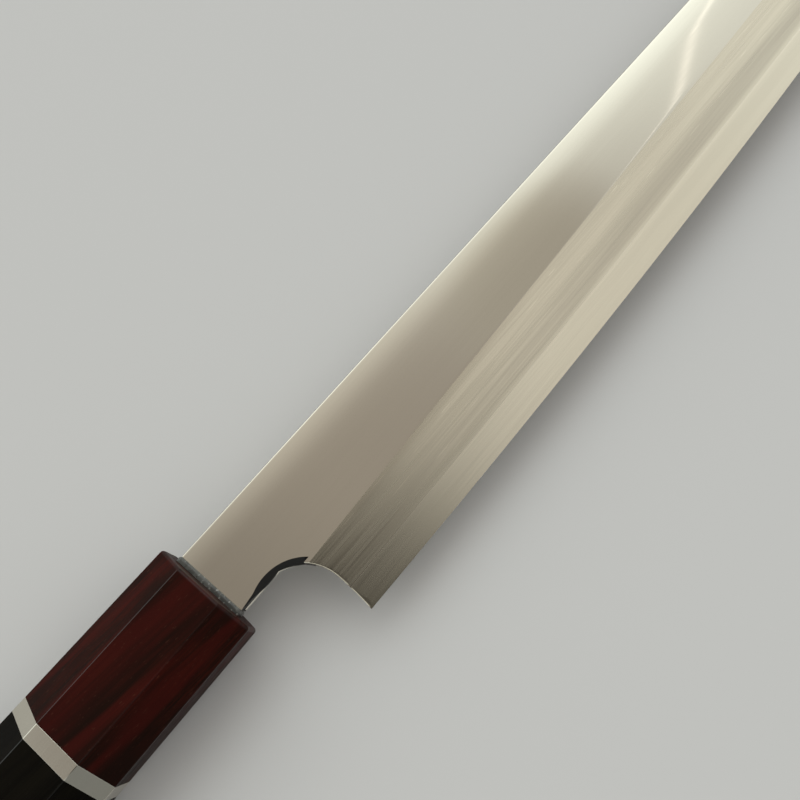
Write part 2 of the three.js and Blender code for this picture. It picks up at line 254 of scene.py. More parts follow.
class NodeBoard:
    """Adds shader nodes to one tree and sets or links their inputs."""

    def __init__(self, tree: bpy.types.NodeTree) -> None:
        """Keeps the tree that nodes are added to."""
        self.tree = tree

    def add(self, kind: str, inputs: dict[str | int, object], **options: object) -> bpy.types.Node:
        """Adds a node.

        Args:
            kind: Blender's name for the node type.
            inputs: a socket to link from, or a constant to set, by input name or number.
            options: other properties of the node.

        Returns:
            The new node.
        """
        node = self.tree.nodes.new(kind)
        for name, value in options.items():
            setattr(node, name, value)
        for key, value in inputs.items():
            if isinstance(value, bpy.types.NodeSocket):
                self.tree.links.new(value, node.inputs[key])
            else:
                node.inputs[key].default_value = value
        return node

    def math(self, operation: str, *values: object) -> bpy.types.NodeSocket:
        """Combines values, sockets or constants, by one operation."""
        return self.add("ShaderNodeMath", dict(enumerate(values)), operation=operation).outputs[0]

    def share(self, name: str) -> bpy.types.NodeSocket:
        """Reads a value that the mesh carries at its points."""
        return self.add("ShaderNodeAttribute", {}, attribute_name=name).outputs["Fac"]

    def mix(
        self, factor: object, first: object, second: object, blend: str = "MIX"
    ) -> bpy.types.NodeSocket:
        """Blends two colours, sockets or linear RGB constants.

        Args:
            factor: 0 gives the first colour and 1 the blend in full.
            first: a colour.
            second: a colour.
            blend: Blender's name for the way of blending; MIX gives the second colour.

        Returns:
            The blended colour.
        """
        colours = [(*c, 1.0) if isinstance(c, tuple) else c for c in (first, second)]
        inputs = {MIX_FACTOR: factor, MIX_FIRST: colours[0], MIX_SECOND: colours[1]}
        node = self.add("ShaderNodeMix", inputs, data_type="RGBA", blend_type=blend)
        return node.outputs[MIX_RESULT]

    def spread(
        self, value: object, low: float, high: float, to_low: object = 0.0, to_high: object = 1.0
    ) -> bpy.types.NodeSocket:
        """Maps a value smoothly from one range to another and holds it at the ends.

        Args:
            value: the value to map.
            low: where the result starts.
            high: where the result ends.
            to_low: the result at low.
            to_high: the result at high.

        Returns:
            The mapped value.
        """
        inputs = {
            "Value": value,
            "From Min": low,
            "From Max": high,
            "To Min": to_low,
            "To Max": to_high,
        }
        node = self.add("ShaderNodeMapRange", inputs, interpolation_type="SMOOTHSTEP")
        return node.outputs[0]

    def noise(
        self, position: object, waves: Triple, octaves: float, turn: float = 0.0
    ) -> bpy.types.NodeSocket:
        """Gives noise that is stretched on its own axes.

        Args:
            position: a place in metres.
            waves: waves per metre along x, y and z.
            octaves: octaves of finer noise.
            turn: angle in degrees by which the pattern leaves the x axis.

        Returns:
            A value about 0.5.
        """
        inputs = {
            "Vector": position,
            "Rotation": (0.0, 0.0, math.radians(turn)),
            "Scale": tuple(1.0 / count for count in waves),
        }
        stretched = self.add("ShaderNodeMapping", inputs, vector_type="TEXTURE").outputs[0]
        inputs = {"Vector": stretched, "Scale": 1.0, "Detail": octaves, "Roughness": NOISE_ROUGHNESS}
        return self.add("ShaderNodeTexNoise", inputs).outputs[0]

    def bump(self, height: object, distance: float) -> bpy.types.NodeSocket:
        """Turns a height from 0 to 1 into a normal, with the height of 1 in metres."""
        return self.add("ShaderNodeBump", {"Height": height, "Distance": distance}).outputs[0]


@dataclass(frozen=True)
class Pattern:
    """A stretched noise and the zone of its values that becomes 0 to 1."""

    waves: Triple
    octaves: float
    turn: float
    zone: Span


# Figure of a dense hardwood along x: broad bands, fine lines, short open grain and a slow change
WOOD_FIGURE = {
    "Streak": Pattern((14.0, 240.0, 240.0), 2.0, -8.0, (0.32, 0.57)),
    "Fibre": Pattern((60.0, 2600.0, 2600.0), 2.0, -5.0, (0.30, 0.70)),
    "Pore": Pattern((800.0, 4600.0, 4600.0), 1.0, -5.0, (0.68, 0.76)),
    "Cloud": Pattern((30.0, 70.0, 70.0), 2.0, 0.0, (0.35, 0.65)),
}
# Scratches of a stone or belt along x: the even pattern, its slow bands and sparse single lines
STONE_SCRATCHES = {
    "Fine": Pattern((40.0, 3000.0, 3000.0), 1.0, 0.0, (0.28, 0.72)),
    "Broad": Pattern((12.0, 520.0, 520.0), 2.0, 0.6, (0.32, 0.68)),
    "Nick": Pattern((90.0, 2600.0, 2600.0), 1.0, 1.2, (0.69, 0.76)),
}


def pattern_group(name: str, patterns: dict[str, Pattern]) -> bpy.types.NodeTree:
    """Makes a node group that gives patterns at a position.

    Args:
        name: the group's name.
        patterns: the patterns by the names of the group's outputs.

    Returns:
        The group, each of whose outputs runs from 0 to 1.
    """
    tree = bpy.data.node_groups.new(name, "ShaderNodeTree")
    tree.interface.new_socket("Position", in_out="INPUT", socket_type="NodeSocketVector")
    for output in patterns:
        tree.interface.new_socket(output, in_out="OUTPUT", socket_type="NodeSocketFloat")
    board = NodeBoard(tree)
    position = board.add("NodeGroupInput", {}).outputs["Position"]
    values = {}
    for output, pattern in patterns.items():
        raw = board.noise(position, pattern.waves, pattern.octaves, pattern.turn)
        values[output] = board.spread(raw, *pattern.zone)
    board.add("NodeGroupOutput", values)
    return tree


class Workshop:
    """Holds the shared node groups and starts each material from them."""

    def __init__(self) -> None:
        """Builds the shared groups once."""
        self.wood = pattern_group("wood_figure", WOOD_FIGURE)
        self.scratches = pattern_group("lengthwise_scratches", STONE_SCRATCHES)

    def start(self, name: str) -> tuple[bpy.types.Material, NodeBoard, bpy.types.NodeSocket]:
        """Starts a material.

        Args:
            name: the material's name.

        Returns:
            The material, its empty board and its position in object coordinates.
        """
        material = bpy.data.materials.new(name)
        material.use_nodes = True
        material.node_tree.nodes.clear()
        board = NodeBoard(material.node_tree)
        return material, board, board.add("ShaderNodeTexCoord", {}).outputs["Object"]

    @staticmethod
    def place_group(
        board: NodeBoard, tree: bpy.types.NodeTree, position: bpy.types.NodeSocket
    ) -> bpy.types.NodeOutputs:
        """Puts a shared group on a board and gives its outputs."""
        return board.add("ShaderNodeGroup", {"Position": position}, node_tree=tree).outputs

    @staticmethod
    def close(board: NodeBoard, inputs: dict[str, object]) -> None:
        """Ends a material with one Principled shader.

        Args:
            board: the material's board.
            inputs: the shader's inputs by name.
        """
        shader = board.add("ShaderNodeBsdfPrincipled", inputs)
        board.add("ShaderNodeOutputMaterial", {"Surface": shader.outputs[0]})


# Finishes

@dataclass(frozen=True)
class SteelFinish:
    """A ground or polished steel face: colours in linear RGB and scratch strengths."""

    name: str
    colour: Colour
    shade: Colour
    roughness: float
    roughness_swing: float
    scratch: float
    scratch_depth: float
    nicks: float
    metallic: float

    def zones(
        self, board: NodeBoard, colour: bpy.types.NodeSocket, broad: bpy.types.NodeSocket
    ) -> bpy.types.NodeSocket:
        """Leaves the colour as it is; a finish with zones of its own changes it here."""
        return colour

    def material(self, shop: Workshop) -> bpy.types.Material:
        """Mixes the scratch pattern into colour, roughness and a slight bump.

        Args:
            shop: the shared groups.

        Returns:
            The finished material.
        """
        material, board, position = shop.start(self.name)
        lines = shop.place_group(board, shop.scratches, position)
        even = board.math("MULTIPLY", lines["Fine"], FINE_SHARE)
        pattern = board.math("MULTIPLY_ADD", lines["Broad"], 1.0 - FINE_SHARE, even)
        tone = board.math("MULTIPLY", pattern, self.scratch)
        colour = board.mix(tone, self.colour, self.shade)
        nick = board.math("MULTIPLY", lines["Nick"], self.nicks)
        bright = tuple(min(1.0, NICK_GAIN * c) for c in self.colour)
        colour = board.mix(nick, colour, bright)
        colour = self.zones(board, colour, lines["Broad"])
        swing = self.roughness_swing / 2
        rough = board.spread(pattern, 0.0, 1.0, self.roughness - swing, self.roughness + swing)
        height = board.math("SUBTRACT", pattern, nick)
        shop.close(board, {
            "Base Color": colour,
            "Metallic": self.metallic,
            "Specular IOR Level": STEEL_SPECULAR,
            "Roughness": rough,
            "Normal": board.bump(height, self.scratch_depth * MM),
        })
        return material


@dataclass(frozen=True)
class GroundFinish(SteelFinish):
    """A stone-ground face with a dark and a pale zone by the mesh's share of the way down it."""

    share: str
    dark: Colour
    dark_zone: Span
    pale: Colour
    pale_zone: Span

    def zones(
        self, board: NodeBoard, colour: bpy.types.NodeSocket, broad: bpy.types.NodeSocket
    ) -> bpy.types.NodeSocket:
        """Darkens and lightens the zones, frayed by scratches and as far as the mesh lets them show.

        Args:
            board: the material's board.
            colour: the scratched colour.
            broad: the slow bands of the scratches.

        Returns:
            The colour with its zones.
        """
        frayed = board.spread(broad, 0.0, 1.0, FRAYED_LEAST, 1.0)
        shown = board.math("MULTIPLY", frayed, board.share(ZONE_SHARE))
        down = board.share(self.share)
        dark = board.math("MULTIPLY", board.spread(down, *self.dark_zone), shown)
        colour = board.mix(dark, colour, self.dark)
        pale = board.math("MULTIPLY", board.spread(down, *self.pale_zone), shown)
        return board.mix(pale, colour, self.pale)


@dataclass(frozen=True)
class WoodFinish:
    """A hardwood: ground, streak and bright colours in linear RGB, pores and gloss; a pore colour
    lighter than the wood is painted glints in the pores.

    The coat lies on the rubbed arrises only, as far as the mesh's own share says.
    """

    name: str
    ground: Colour
    streak: Colour
    glow: Colour
    pore_tint_and_glint: Colour
    pore_amount: float
    roughness: float
    coat: float
    grain_depth: float

    def material(self, shop: Workshop) -> bpy.types.Material:
        """Lays dark streaks, fibres and pores over the ground colour; pores lighter than the wood are
        painted glints.

        Args:
            shop: the shared groups.

        Returns:
            The finished material.
        """
        material, board, position = shop.start(self.name)
        figure = shop.place_group(board, shop.wood, position)
        colour = board.mix(figure["Streak"], self.ground, self.streak)
        warm = board.math("MULTIPLY", figure["Cloud"], figure["Fibre"])
        colour = board.mix(board.math("MULTIPLY", warm, WOOD_GLOW), colour, self.glow)
        # Pore specks, sunk by the bump; where their colour is lighter than the wood they are painted
        # glints.
        pore_tint_and_glint = board.math("MULTIPLY", figure["Pore"], self.pore_amount)
        colour = board.mix(pore_tint_and_glint, colour, self.pore_tint_and_glint)
        low = self.roughness - WOOD_SMOOTHER
        high = self.roughness + WOOD_ROUGHER
        height = board.math("SUBTRACT", figure["Fibre"], figure["Pore"])
        coat = board.math("MULTIPLY", board.share(ARRIS_SHARE), self.coat) if self.coat else 0.0
        shop.close(board, {
            "Base Color": colour,
            "Roughness": board.spread(figure["Fibre"], 0.0, 1.0, low, high),
            "Specular IOR Level": WOOD_SPECULAR,
            "Coat Weight": coat,
            "Coat Roughness": COAT_ROUGHNESS,
            "Normal": board.bump(height, self.grain_depth * MM),
        })
        return material


@dataclass(frozen=True)
class ResinFinish:
    """A set resin with light and dark specks in it."""

    name: str
    colour: Colour
    light: Colour
    dark: Colour
    roughness: float
    transmission: float
    cloud_scale: float
    speck_scale: float
    unevenness: float

    def material(self, shop: Workshop) -> bpy.types.Material:
        """Scatters dark clouds and bright specks through the resin's colour.

        Args:
            shop: the shared groups.

        Returns:
            The finished material.
        """
        material, board, position = shop.start(self.name)
        cloud = board.noise(position, (self.cloud_scale,) * 3, CLOUD_OCTAVES)
        speck = board.noise(position, (self.speck_scale,) * 3, SPECK_OCTAVES)
        colour = board.mix(board.spread(cloud, *CLOUD_ZONE), self.colour, self.dark)
        colour = board.mix(board.spread(speck, *SPECK_ZONE), colour, self.light)
        rougher = self.roughness + RESIN_ROUGHER
        shop.close(board, {
            "Base Color": colour,
            "Roughness": board.spread(cloud, *CLOUD_RANGE, self.roughness, rougher),
            "Transmission Weight": self.transmission,
            "Normal": board.bump(cloud, self.unevenness * MM),
        })
        return material


ROSEWOOD = WoodFinish(
    name="dark_red_rosewood",
    ground=(0.038, 0.0056, 0.0040),
    streak=(0.012, 0.0048, 0.0032),
    glow=(0.066, 0.0085, 0.0046),
    # Pores lighter than the wood: painted glints.
    pore_tint_and_glint=(0.14, 0.06, 0.035),
    pore_amount=0.22,
    roughness=0.40,
    coat=0.8,
    grain_depth=0.003,
)
EBONY = WoodFinish(
    name="near_black_ebony",
    ground=(0.0058, 0.0046, 0.0028),
    streak=(0.0032, 0.0026, 0.0018),
    glow=(0.010, 0.0078, 0.0044),
    # Pores lighter than the wood: painted glints.
    pore_tint_and_glint=(0.03, 0.026, 0.018),
    pore_amount=0.12,
    roughness=0.38,
    coat=0.8,
    grain_depth=0.002,
)
PALE_WOOD = WoodFinish(
    name="pale_dowel_wood",
    ground=(0.55, 0.38, 0.20),
    streak=(0.46, 0.29, 0.14),
    glow=(0.62, 0.45, 0.26),
    pore_tint_and_glint=(0.30, 0.19, 0.09),
    pore_amount=0.5,
    roughness=0.62,
    coat=0.0,
    grain_depth=0.03,
)
NICKEL_SILVER = SteelFinish(
    name="nickel_silver",
    colour=(0.62, 0.585, 0.50),
    shade=(0.54, 0.51, 0.435),
    roughness=0.16,
    roughness_swing=0.04,
    scratch=0.35,
    scratch_depth=0.0004,
    nicks=0.1,
    metallic=1.0,
)
POLISHED_FLAT = SteelFinish(
    name="polished_flat",
    colour=(0.63, 0.589, 0.495),
    shade=(0.60, 0.56, 0.47),
    roughness=0.06,
    roughness_swing=0.015,
    scratch=0.5,
    scratch_depth=0.00003,
    nicks=0.0,
    metallic=1.0,
)
STONE_BEVEL = GroundFinish(
    name="stone_ground_bevel",
    colour=(0.66, 0.601, 0.478),
    shade=(0.55, 0.50, 0.396),
    roughness=0.24,
    roughness_swing=0.08,
    scratch=0.62,
    scratch_depth=0.00018,
    nicks=0.45,
    metallic=1.0,
    share=DOWN_BEVEL,
    dark=(0.46, 0.419, 0.336),
    dark_zone=(0.36, 0.76),
    pale=(0.70, 0.644, 0.516),
    pale_zone=(0.88, 1.0),
)
HARD_STEEL = GroundFinish(
    name="hard_edge_steel",
    colour=(0.69, 0.634, 0.51),
    shade=(0.635, 0.583, 0.468),
    roughness=0.23,
    roughness_swing=0.04,
    scratch=0.6,
    scratch_depth=0.00008,
    nicks=0.15,
    metallic=1.0,
    share=DOWN_BAND,
    dark=(0.645, 0.593, 0.476),
    dark_zone=(0.04, 0.30),
    pale=(0.72, 0.662, 0.53),
    pale_zone=(0.14, 0.0),
)
# Scoop and neck wall: a near-black, non-metal colour that stands in for polished steel reflecting a
# dark room, a painted dark reflection.
SCOOP_PAINTED_REFLECTION = SteelFinish(
    name="scoop_painted_dark_reflection",
    colour=(0.010, 0.0096, 0.0094),
    shade=(0.006, 0.0058, 0.0057),
    roughness=0.34,
    roughness_swing=0.05,
    scratch=0.6,
    scratch_depth=0.0005,
    nicks=0.1,
    metallic=0.0,
)
POLISHED_WALL = SteelFinish(
    name="polished_wall",
    colour=(0.72, 0.685, 0.60),
    shade=(0.66, 0.625, 0.545),
    roughness=0.16,
    roughness_swing=0.05,
    scratch=0.3,
    scratch_depth=0.0003,
    nicks=0.1,
    metallic=1.0,
)
SATIN_BACK = SteelFinish(
    name="satin_back",
    colour=(0.58, 0.54, 0.455),
    shade=(0.48, 0.445, 0.375),
    roughness=0.30,
    roughness_swing=0.08,
    scratch=0.5,
    scratch_depth=0.0008,
    nicks=0.3,
    metallic=1.0,
)
POLISHED_RIM = SteelFinish(
    name="polished_rim",
    colour=(0.66, 0.62, 0.53),
    shade=(0.60, 0.56, 0.48),
    roughness=0.16,
    roughness_swing=0.05,
    scratch=0.4,
    scratch_depth=0.0004,
    nicks=0.2,
    metallic=1.0,
)
HOLLOW_BACK = SteelFinish(
    name="hollow_back",
    colour=(0.56, 0.52, 0.44),
    shade=(0.45, 0.415, 0.35),
    roughness=0.32,
    roughness_swing=0.08,
    scratch=0.6,
    scratch_depth=0.0008,
    nicks=0.3,
    metallic=1.0,
)
CLEAR_RESIN = ResinFinish(
    name="clear_resin_bead",
    colour=(0.135, 0.135, 0.118),
    light=(0.38, 0.37, 0.335),
    dark=(0.085, 0.085, 0.075),
    roughness=0.18,
    transmission=0.35,
    cloud_scale=600.0,
    speck_scale=1500.0,
    unevenness=0.006,
)
BEDDING_RESIN = ResinFinish(
    name="set_bedding_resin",
    colour=(0.25, 0.21, 0.14),
    light=(0.33, 0.28, 0.20),
    dark=(0.15, 0.12, 0.08),
    roughness=0.55,
    transmission=0.0,
    cloud_scale=300.0,
    speck_scale=700.0,
    unevenness=0.03,
)


# Handle

class Facet(IntEnum):
    """Kinds of the handle's facets: top or bottom, corner and side."""

    TOP = 0
    CORNER = 1
    SIDE = 2


# Half the way round the handle from +y over +z, and the number of facets in all
HALF_ROUND = [Facet.TOP, Facet.CORNER, Facet.SIDE, Facet.CORNER]
FACETS = 2 * len(HALF_ROUND)


@dataclass(frozen=True)
class HandleForm:
    """The handle's eight-sided section, which grows evenly from the ferrule to the butt."""

    height_front: float = 23.0
    height_butt: float = 26.4
    side_facet_front: float = 10.1
    side_facet_butt: float = 11.7
    corner_facet_angle: float = 41.5
    thickness: float = 19.8
    length: float = 148.9
    corner_points: int = 6

    def directions(self) -> np.ndarray:
        """Gives the facets' outward directions in the y-z plane.

        Returns:
            The eight angles from +y in radians, and the first again.
        """
        lean = 90.0 - self.corner_facet_angle
        quarter = np.array([0.0, lean, 90.0, 180.0 - lean])
        return np.radians(np.concatenate([quarter, quarter + 180.0, [360.0]]))

    def supports(self, x: np.ndarray) -> np.ndarray:
        """Gives each facet's distance from the axis.

        The height and the side facets grow evenly from front to butt.

        Args:
            x: stations along the handle.

        Returns:
            An array of stations by the three kinds of facet.
        """
        along = np.clip(-x / self.length, 0.0, 1.0)
        top = (self.height_front + (self.height_butt - self.height_front) * along) / 2
        reach = (self.side_facet_front + (self.side_facet_butt - self.side_facet_front) * along) / 2
        side = np.full_like(x, self.thickness / 2)
        return np.stack([top, self.corner_support(reach, side), side], axis=-1)

    def corner_support(self, reach: np.ndarray, side: np.ndarray) -> np.ndarray:
        """Gives a corner facet's distance: the part of y = reach, z = side along its normal."""
        angle = math.radians(self.corner_facet_angle)
        return reach * math.sin(angle) + side * math.cos(angle)

    def rings(self, x: np.ndarray, supports: np.ndarray, radius: np.ndarray) -> np.ndarray:
        """Makes a ring of points at each station.

        Each corner is an arc. Its centre lies inside both facets by the radius, and its points
        are the centre plus the radius in directions from one facet's normal to the next.

        Args:
            x: stations.
            supports: stations by three facet distances.
            radius: corner radius at each station.

        Returns:
            An array of stations by points by x, y and z.
        """
        angles = self.directions()
        normals = np.stack([np.cos(angles), np.sin(angles)], axis=-1)
        pairs = np.stack([normals[:-1], normals[1:]], axis=1)
        distances = supports[:, [*HALF_ROUND, *HALF_ROUND, Facet.TOP]] - radius[:, None]
        wanted = np.stack([distances[:, :-1], distances[:, 1:]], axis=-1)
        centres = np.einsum("kij,mkj->mki", np.linalg.inv(pairs), wanted)
        share = np.linspace(0.0, 1.0, self.corner_points)
        sweep = angles[:-1, None] + (angles[1:] - angles[:-1])[:, None] * share
        outward = np.stack([np.cos(sweep), np.sin(sweep)], axis=-1)
        flat = centres[:, :, None, :] + radius[:, None, None, None] * outward
        flat = flat.reshape(len(x), -1, 2)
        stations = np.broadcast_to(x[:, None, None], (len(x), flat.shape[1], 1))
        return np.concatenate([stations, flat], axis=-1)


@dataclass
class TurnedPiece:
    """Common to the pieces of the handle: a surface of rings, one after another."""

    place: KnifeFrame
    form: HandleForm
    edge_gloss: float = 0.35

    def outside(self, x: np.ndarray, inset: np.ndarray, arris: float) -> np.ndarray:
        """Makes rings on the handle's outside.

        Args:
            x: stations.
            inset: how far each ring lies inside the facets.
            arris: radius of the long corners.

        Returns:
            The rings.
        """
        supports = self.form.supports(x) - inset[:, None]
        return self.form.rings(x, supports, np.full_like(x, arris))

    def bore(self, x: np.ndarray, radius: float) -> np.ndarray:
        """Makes round rings about the axis: their facets lie as far out as their corner radius."""
        size = np.full_like(x, radius)
        return self.form.rings(x, np.repeat(size[:, None], len(Facet), axis=1), size)

    def rectangle(self, x: np.ndarray, half_height: float, half_depth: float) -> np.ndarray:
        """Makes rings with four square corners, whose corner facets pass through the corners.

        Args:
            x: stations.
            half_height: half the size along y.
            half_depth: half the size along z.

        Returns:
            The rings.
        """
        top = np.full_like(x, half_height)
        side = np.full_like(x, half_depth)
        supports = np.stack([top, self.form.corner_support(top, side), side], axis=-1)
        return self.form.rings(x, supports, np.zeros_like(x))

    def piece(
        self, node: str, slot: str, rings: np.ndarray, material: bpy.types.Material, torus: bool,
        rounded: range = range(0),
    ) -> bpy.types.Object:
        """Joins rings into a closed piece.

        Args:
            node: the CAD node that it stands for.
            slot: the record's material slot, which is not used.
            rings: rings in order along the surface.
            material: the finish.
            torus: True where the last ring joins the first; otherwise both are poles.
            rounded: numbers of the rings on a rubbed end edge, glossy as the arrises are; the
                rings after them lie on the plain end face.

        Returns:
            The piece.
        """
        faces = grid_faces(len(rings), rings.shape[1], torus, True)
        corner = np.pad(np.ones(self.form.corner_points - 2), 1)
        on_arris = np.repeat(np.tile(corner, FACETS)[None], len(rings), 0)
        on_arris[list(rounded)] = self.edge_gloss
        on_arris[rounded.stop:] = 0.0
        return PieceMesh(
            name=f"{node}_shown",
            node=node,
            slot=slot,
            points=self.place.place(rings.reshape(-1, 3)),
            faces=faces,
            groups=np.zeros(len(faces), dtype=np.int32),
            materials=[material],
            sharp_angle=SMOOTH_ANGLE,
            attributes={ARRIS_SHARE: on_arris},
        ).build()


def rounding(radius: float, steps: int) -> tuple[np.ndarray, np.ndarray]:
    """Gives a quarter circle that rounds an edge: radius times 1 less sine, and 1 less cosine.

    Args:
        radius: its radius.
        steps: number of points.

    Returns:
        How far each point lies before the end face, and how far inside the side faces.
    """
    angle = np.linspace(0.0, math.pi / 2, steps)
    return radius * (1.0 - np.sin(angle)), radius * (1.0 - np.cos(angle))


@dataclass
class Ferrule(TurnedPiece):
    """The red hardwood front of the handle, with the tang's slot and the dowel's bore."""

    front_edge: float = 0.8
    front_steps: int = 7
    rear_edge: float = 0.06
    rear_steps: int = 3
    arris: float = 0.32
    mouth_depth: float = 14.0
    slot_half_height: float = 5.15
    slot_half_depth: float = 2.6
    bore_radius: float = 7.3

    def build(self, shop: Workshop) -> bpy.types.Object:
        """Runs a profile outside, over the rounded front, down the slot and back by the bore.

        Args:
            shop: the shared groups.

        Returns:
            The piece.
        """
        rear = self.place.node_box("ferrule")[0][0]
        before, inside = rounding(self.front_edge, self.front_steps)
        back_before, back_inside = rounding(self.rear_edge, self.rear_steps)
        x = np.concatenate([rear + back_before[::-1], -before])
        inset = np.concatenate([back_inside[::-1], inside])
        mouth = np.array([0.0, -self.mouth_depth])
        rings = np.concatenate([
            self.outside(x, inset, self.arris),
            self.rectangle(mouth, self.slot_half_height, self.slot_half_depth),
            self.bore(np.array([-self.mouth_depth, rear]), self.bore_radius),
        ])
        edge = range(len(back_before) + 1, len(x) - 1)
        return self.piece("ferrule", "red_hardwood", rings, ROSEWOOD.material(shop), True, edge)


@dataclass
class SpacerRing(TurnedPiece):
    """The metal ring between ferrule and body."""

    edge: float = 0.09
    edge_steps: int = 4
    arris: float = 0.3
    bore_radius: float = 7.3

    def build(self, shop: Workshop) -> bpy.types.Object:
        """Runs a profile round the ring's outside, with eased edges, and through its bore.

        Args:
            shop: the shared groups.

        Returns:
            The piece.
        """
        low, high = self.place.node_box("spacer_ring")
        before, inside = rounding(self.edge, self.edge_steps)
        x = np.concatenate([low[0] + before[::-1], high[0] - before])
        inset = np.concatenate([inside[::-1], inside])
        rings = np.concatenate([
            self.outside(x, inset, self.arris),
            self.bore(np.array([high[0], low[0]]), self.bore_radius),
        ])
        return self.piece("spacer_ring", "ring_metal", rings, NICKEL_SILVER.material(shop), True)


@dataclass
class HandleBody(TurnedPiece):
    """The near-black hardwood body with its blind bore and rounded butt."""

    front_edge: float = 0.06
    front_steps: int = 3
    butt_edge: float = 1.5
    butt_steps: int = 8
    arris: float = 0.35
    bore_radius: float = 7.3
    bore_end: float = -107.0

    def build(self, shop: Workshop) -> bpy.types.Object:
        """Runs a profile from the bore's bottom out over the front, the outside and the butt.

        Args:
            shop: the shared groups.

        Returns:
            The piece.
        """
        low, high = self.place.node_box("handle_body")
        before, inside = rounding(self.front_edge, self.front_steps)
        butt_before, butt_inside = rounding(self.butt_edge, self.butt_steps)
        x = np.concatenate([high[0] - before[::-1], low[0] + butt_before])
        inset = np.concatenate([inside[::-1], butt_inside])
        rings = np.concatenate([
            self.bore(np.array([self.bore_end]), 0.0),
            self.bore(np.array([self.bore_end, high[0]]), self.bore_radius),
            self.outside(x, inset, self.arris),
            self.bore(np.array([low[0]]), 0.0),
        ])
        edge = range(len(rings) - len(butt_before), len(rings) - 2)
        return self.piece("handle_body", "black_hardwood", rings, EBONY.material(shop), False, edge)


@dataclass
class TangSeal(TurnedPiece):
    """The bead of clear resin that closes the joint between neck and ferrule."""

    corner: float = 0.8
    edge: float = 0.62
    edge_steps: int = 6
    hole_half_height: float = 4.45
    hole_half_depth: float = 1.9
    unevenness: float = 0.05
    wave_rate: float = 2.3
    wave_start: float = 0.7
    slow_wave_rate: float = 0.9

    def build(self, shop: Workshop) -> bpy.types.Object:
        """Runs a profile over the bead and through the hole for the tang, slightly uneven.

        Each corner facet is the one that touches a round corner of the bead's corner radius. The
        unevenness is the product of two sine waves along the bead.

        Args:
            shop: the shared groups.

        Returns:
            The piece.
        """
        low, high = self.place.node_box("tang_seal")
        half = (high - low) / 2
        middle = (high + low) / 2
        before, inside = rounding(self.edge, self.edge_steps)
        x = np.concatenate([[low[0]], high[0] - before])
        inset = np.concatenate([[0.0], inside])
        sizes = half[None, 1:] - inset[:, None]
        reach = sizes[:, 0] - self.corner * (1 - math.tan(math.pi / FACETS))
        corner = self.form.corner_support(reach, sizes[:, 1])
        supports = np.stack([sizes[:, 0], corner, sizes[:, 1]], axis=-1)
        bead = self.form.rings(x, supports, np.full_like(x, self.edge))
        wave = np.sin(bead[..., 1] * self.wave_rate + self.wave_start)
        wave *= np.sin(bead[..., 1] * self.slow_wave_rate + bead[..., 2])
        bead[..., 2] -= self.unevenness * np.abs(wave) * np.sign(bead[..., 2])
        bead[..., 1] += middle[1]
        hole = self.rectangle(high[[0, 0]], self.hole_half_height, self.hole_half_depth)
        hole[1, :, 0] = low[0]
        rings = np.concatenate([bead, hole])
        return self.piece("tang_seal", "clear_resin", rings, CLEAR_RESIN.material(shop), True)


@dataclass
class HandleCore:
    """The dowel and the bedding inside the handle, which keep their CAD shapes."""

    dowel: str = "handle_dowel"
    bedding: str = "tang_bedding"

    def dress(self, shop: Workshop) -> None:
        """Gives the two hidden nodes their finishes.

        Args:
            shop: the shared groups.
        """
        for node, finish in ((self.dowel, PALE_WOOD), (self.bedding, BEDDING_RESIN)):
            material = finish.material(shop)
            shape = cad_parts[node]
            shape.data.materials.clear()
            shape.data.materials.append(material)
            LOG.info("%s: CAD shape kept, dressed as %s", node, material.name)


# Blade

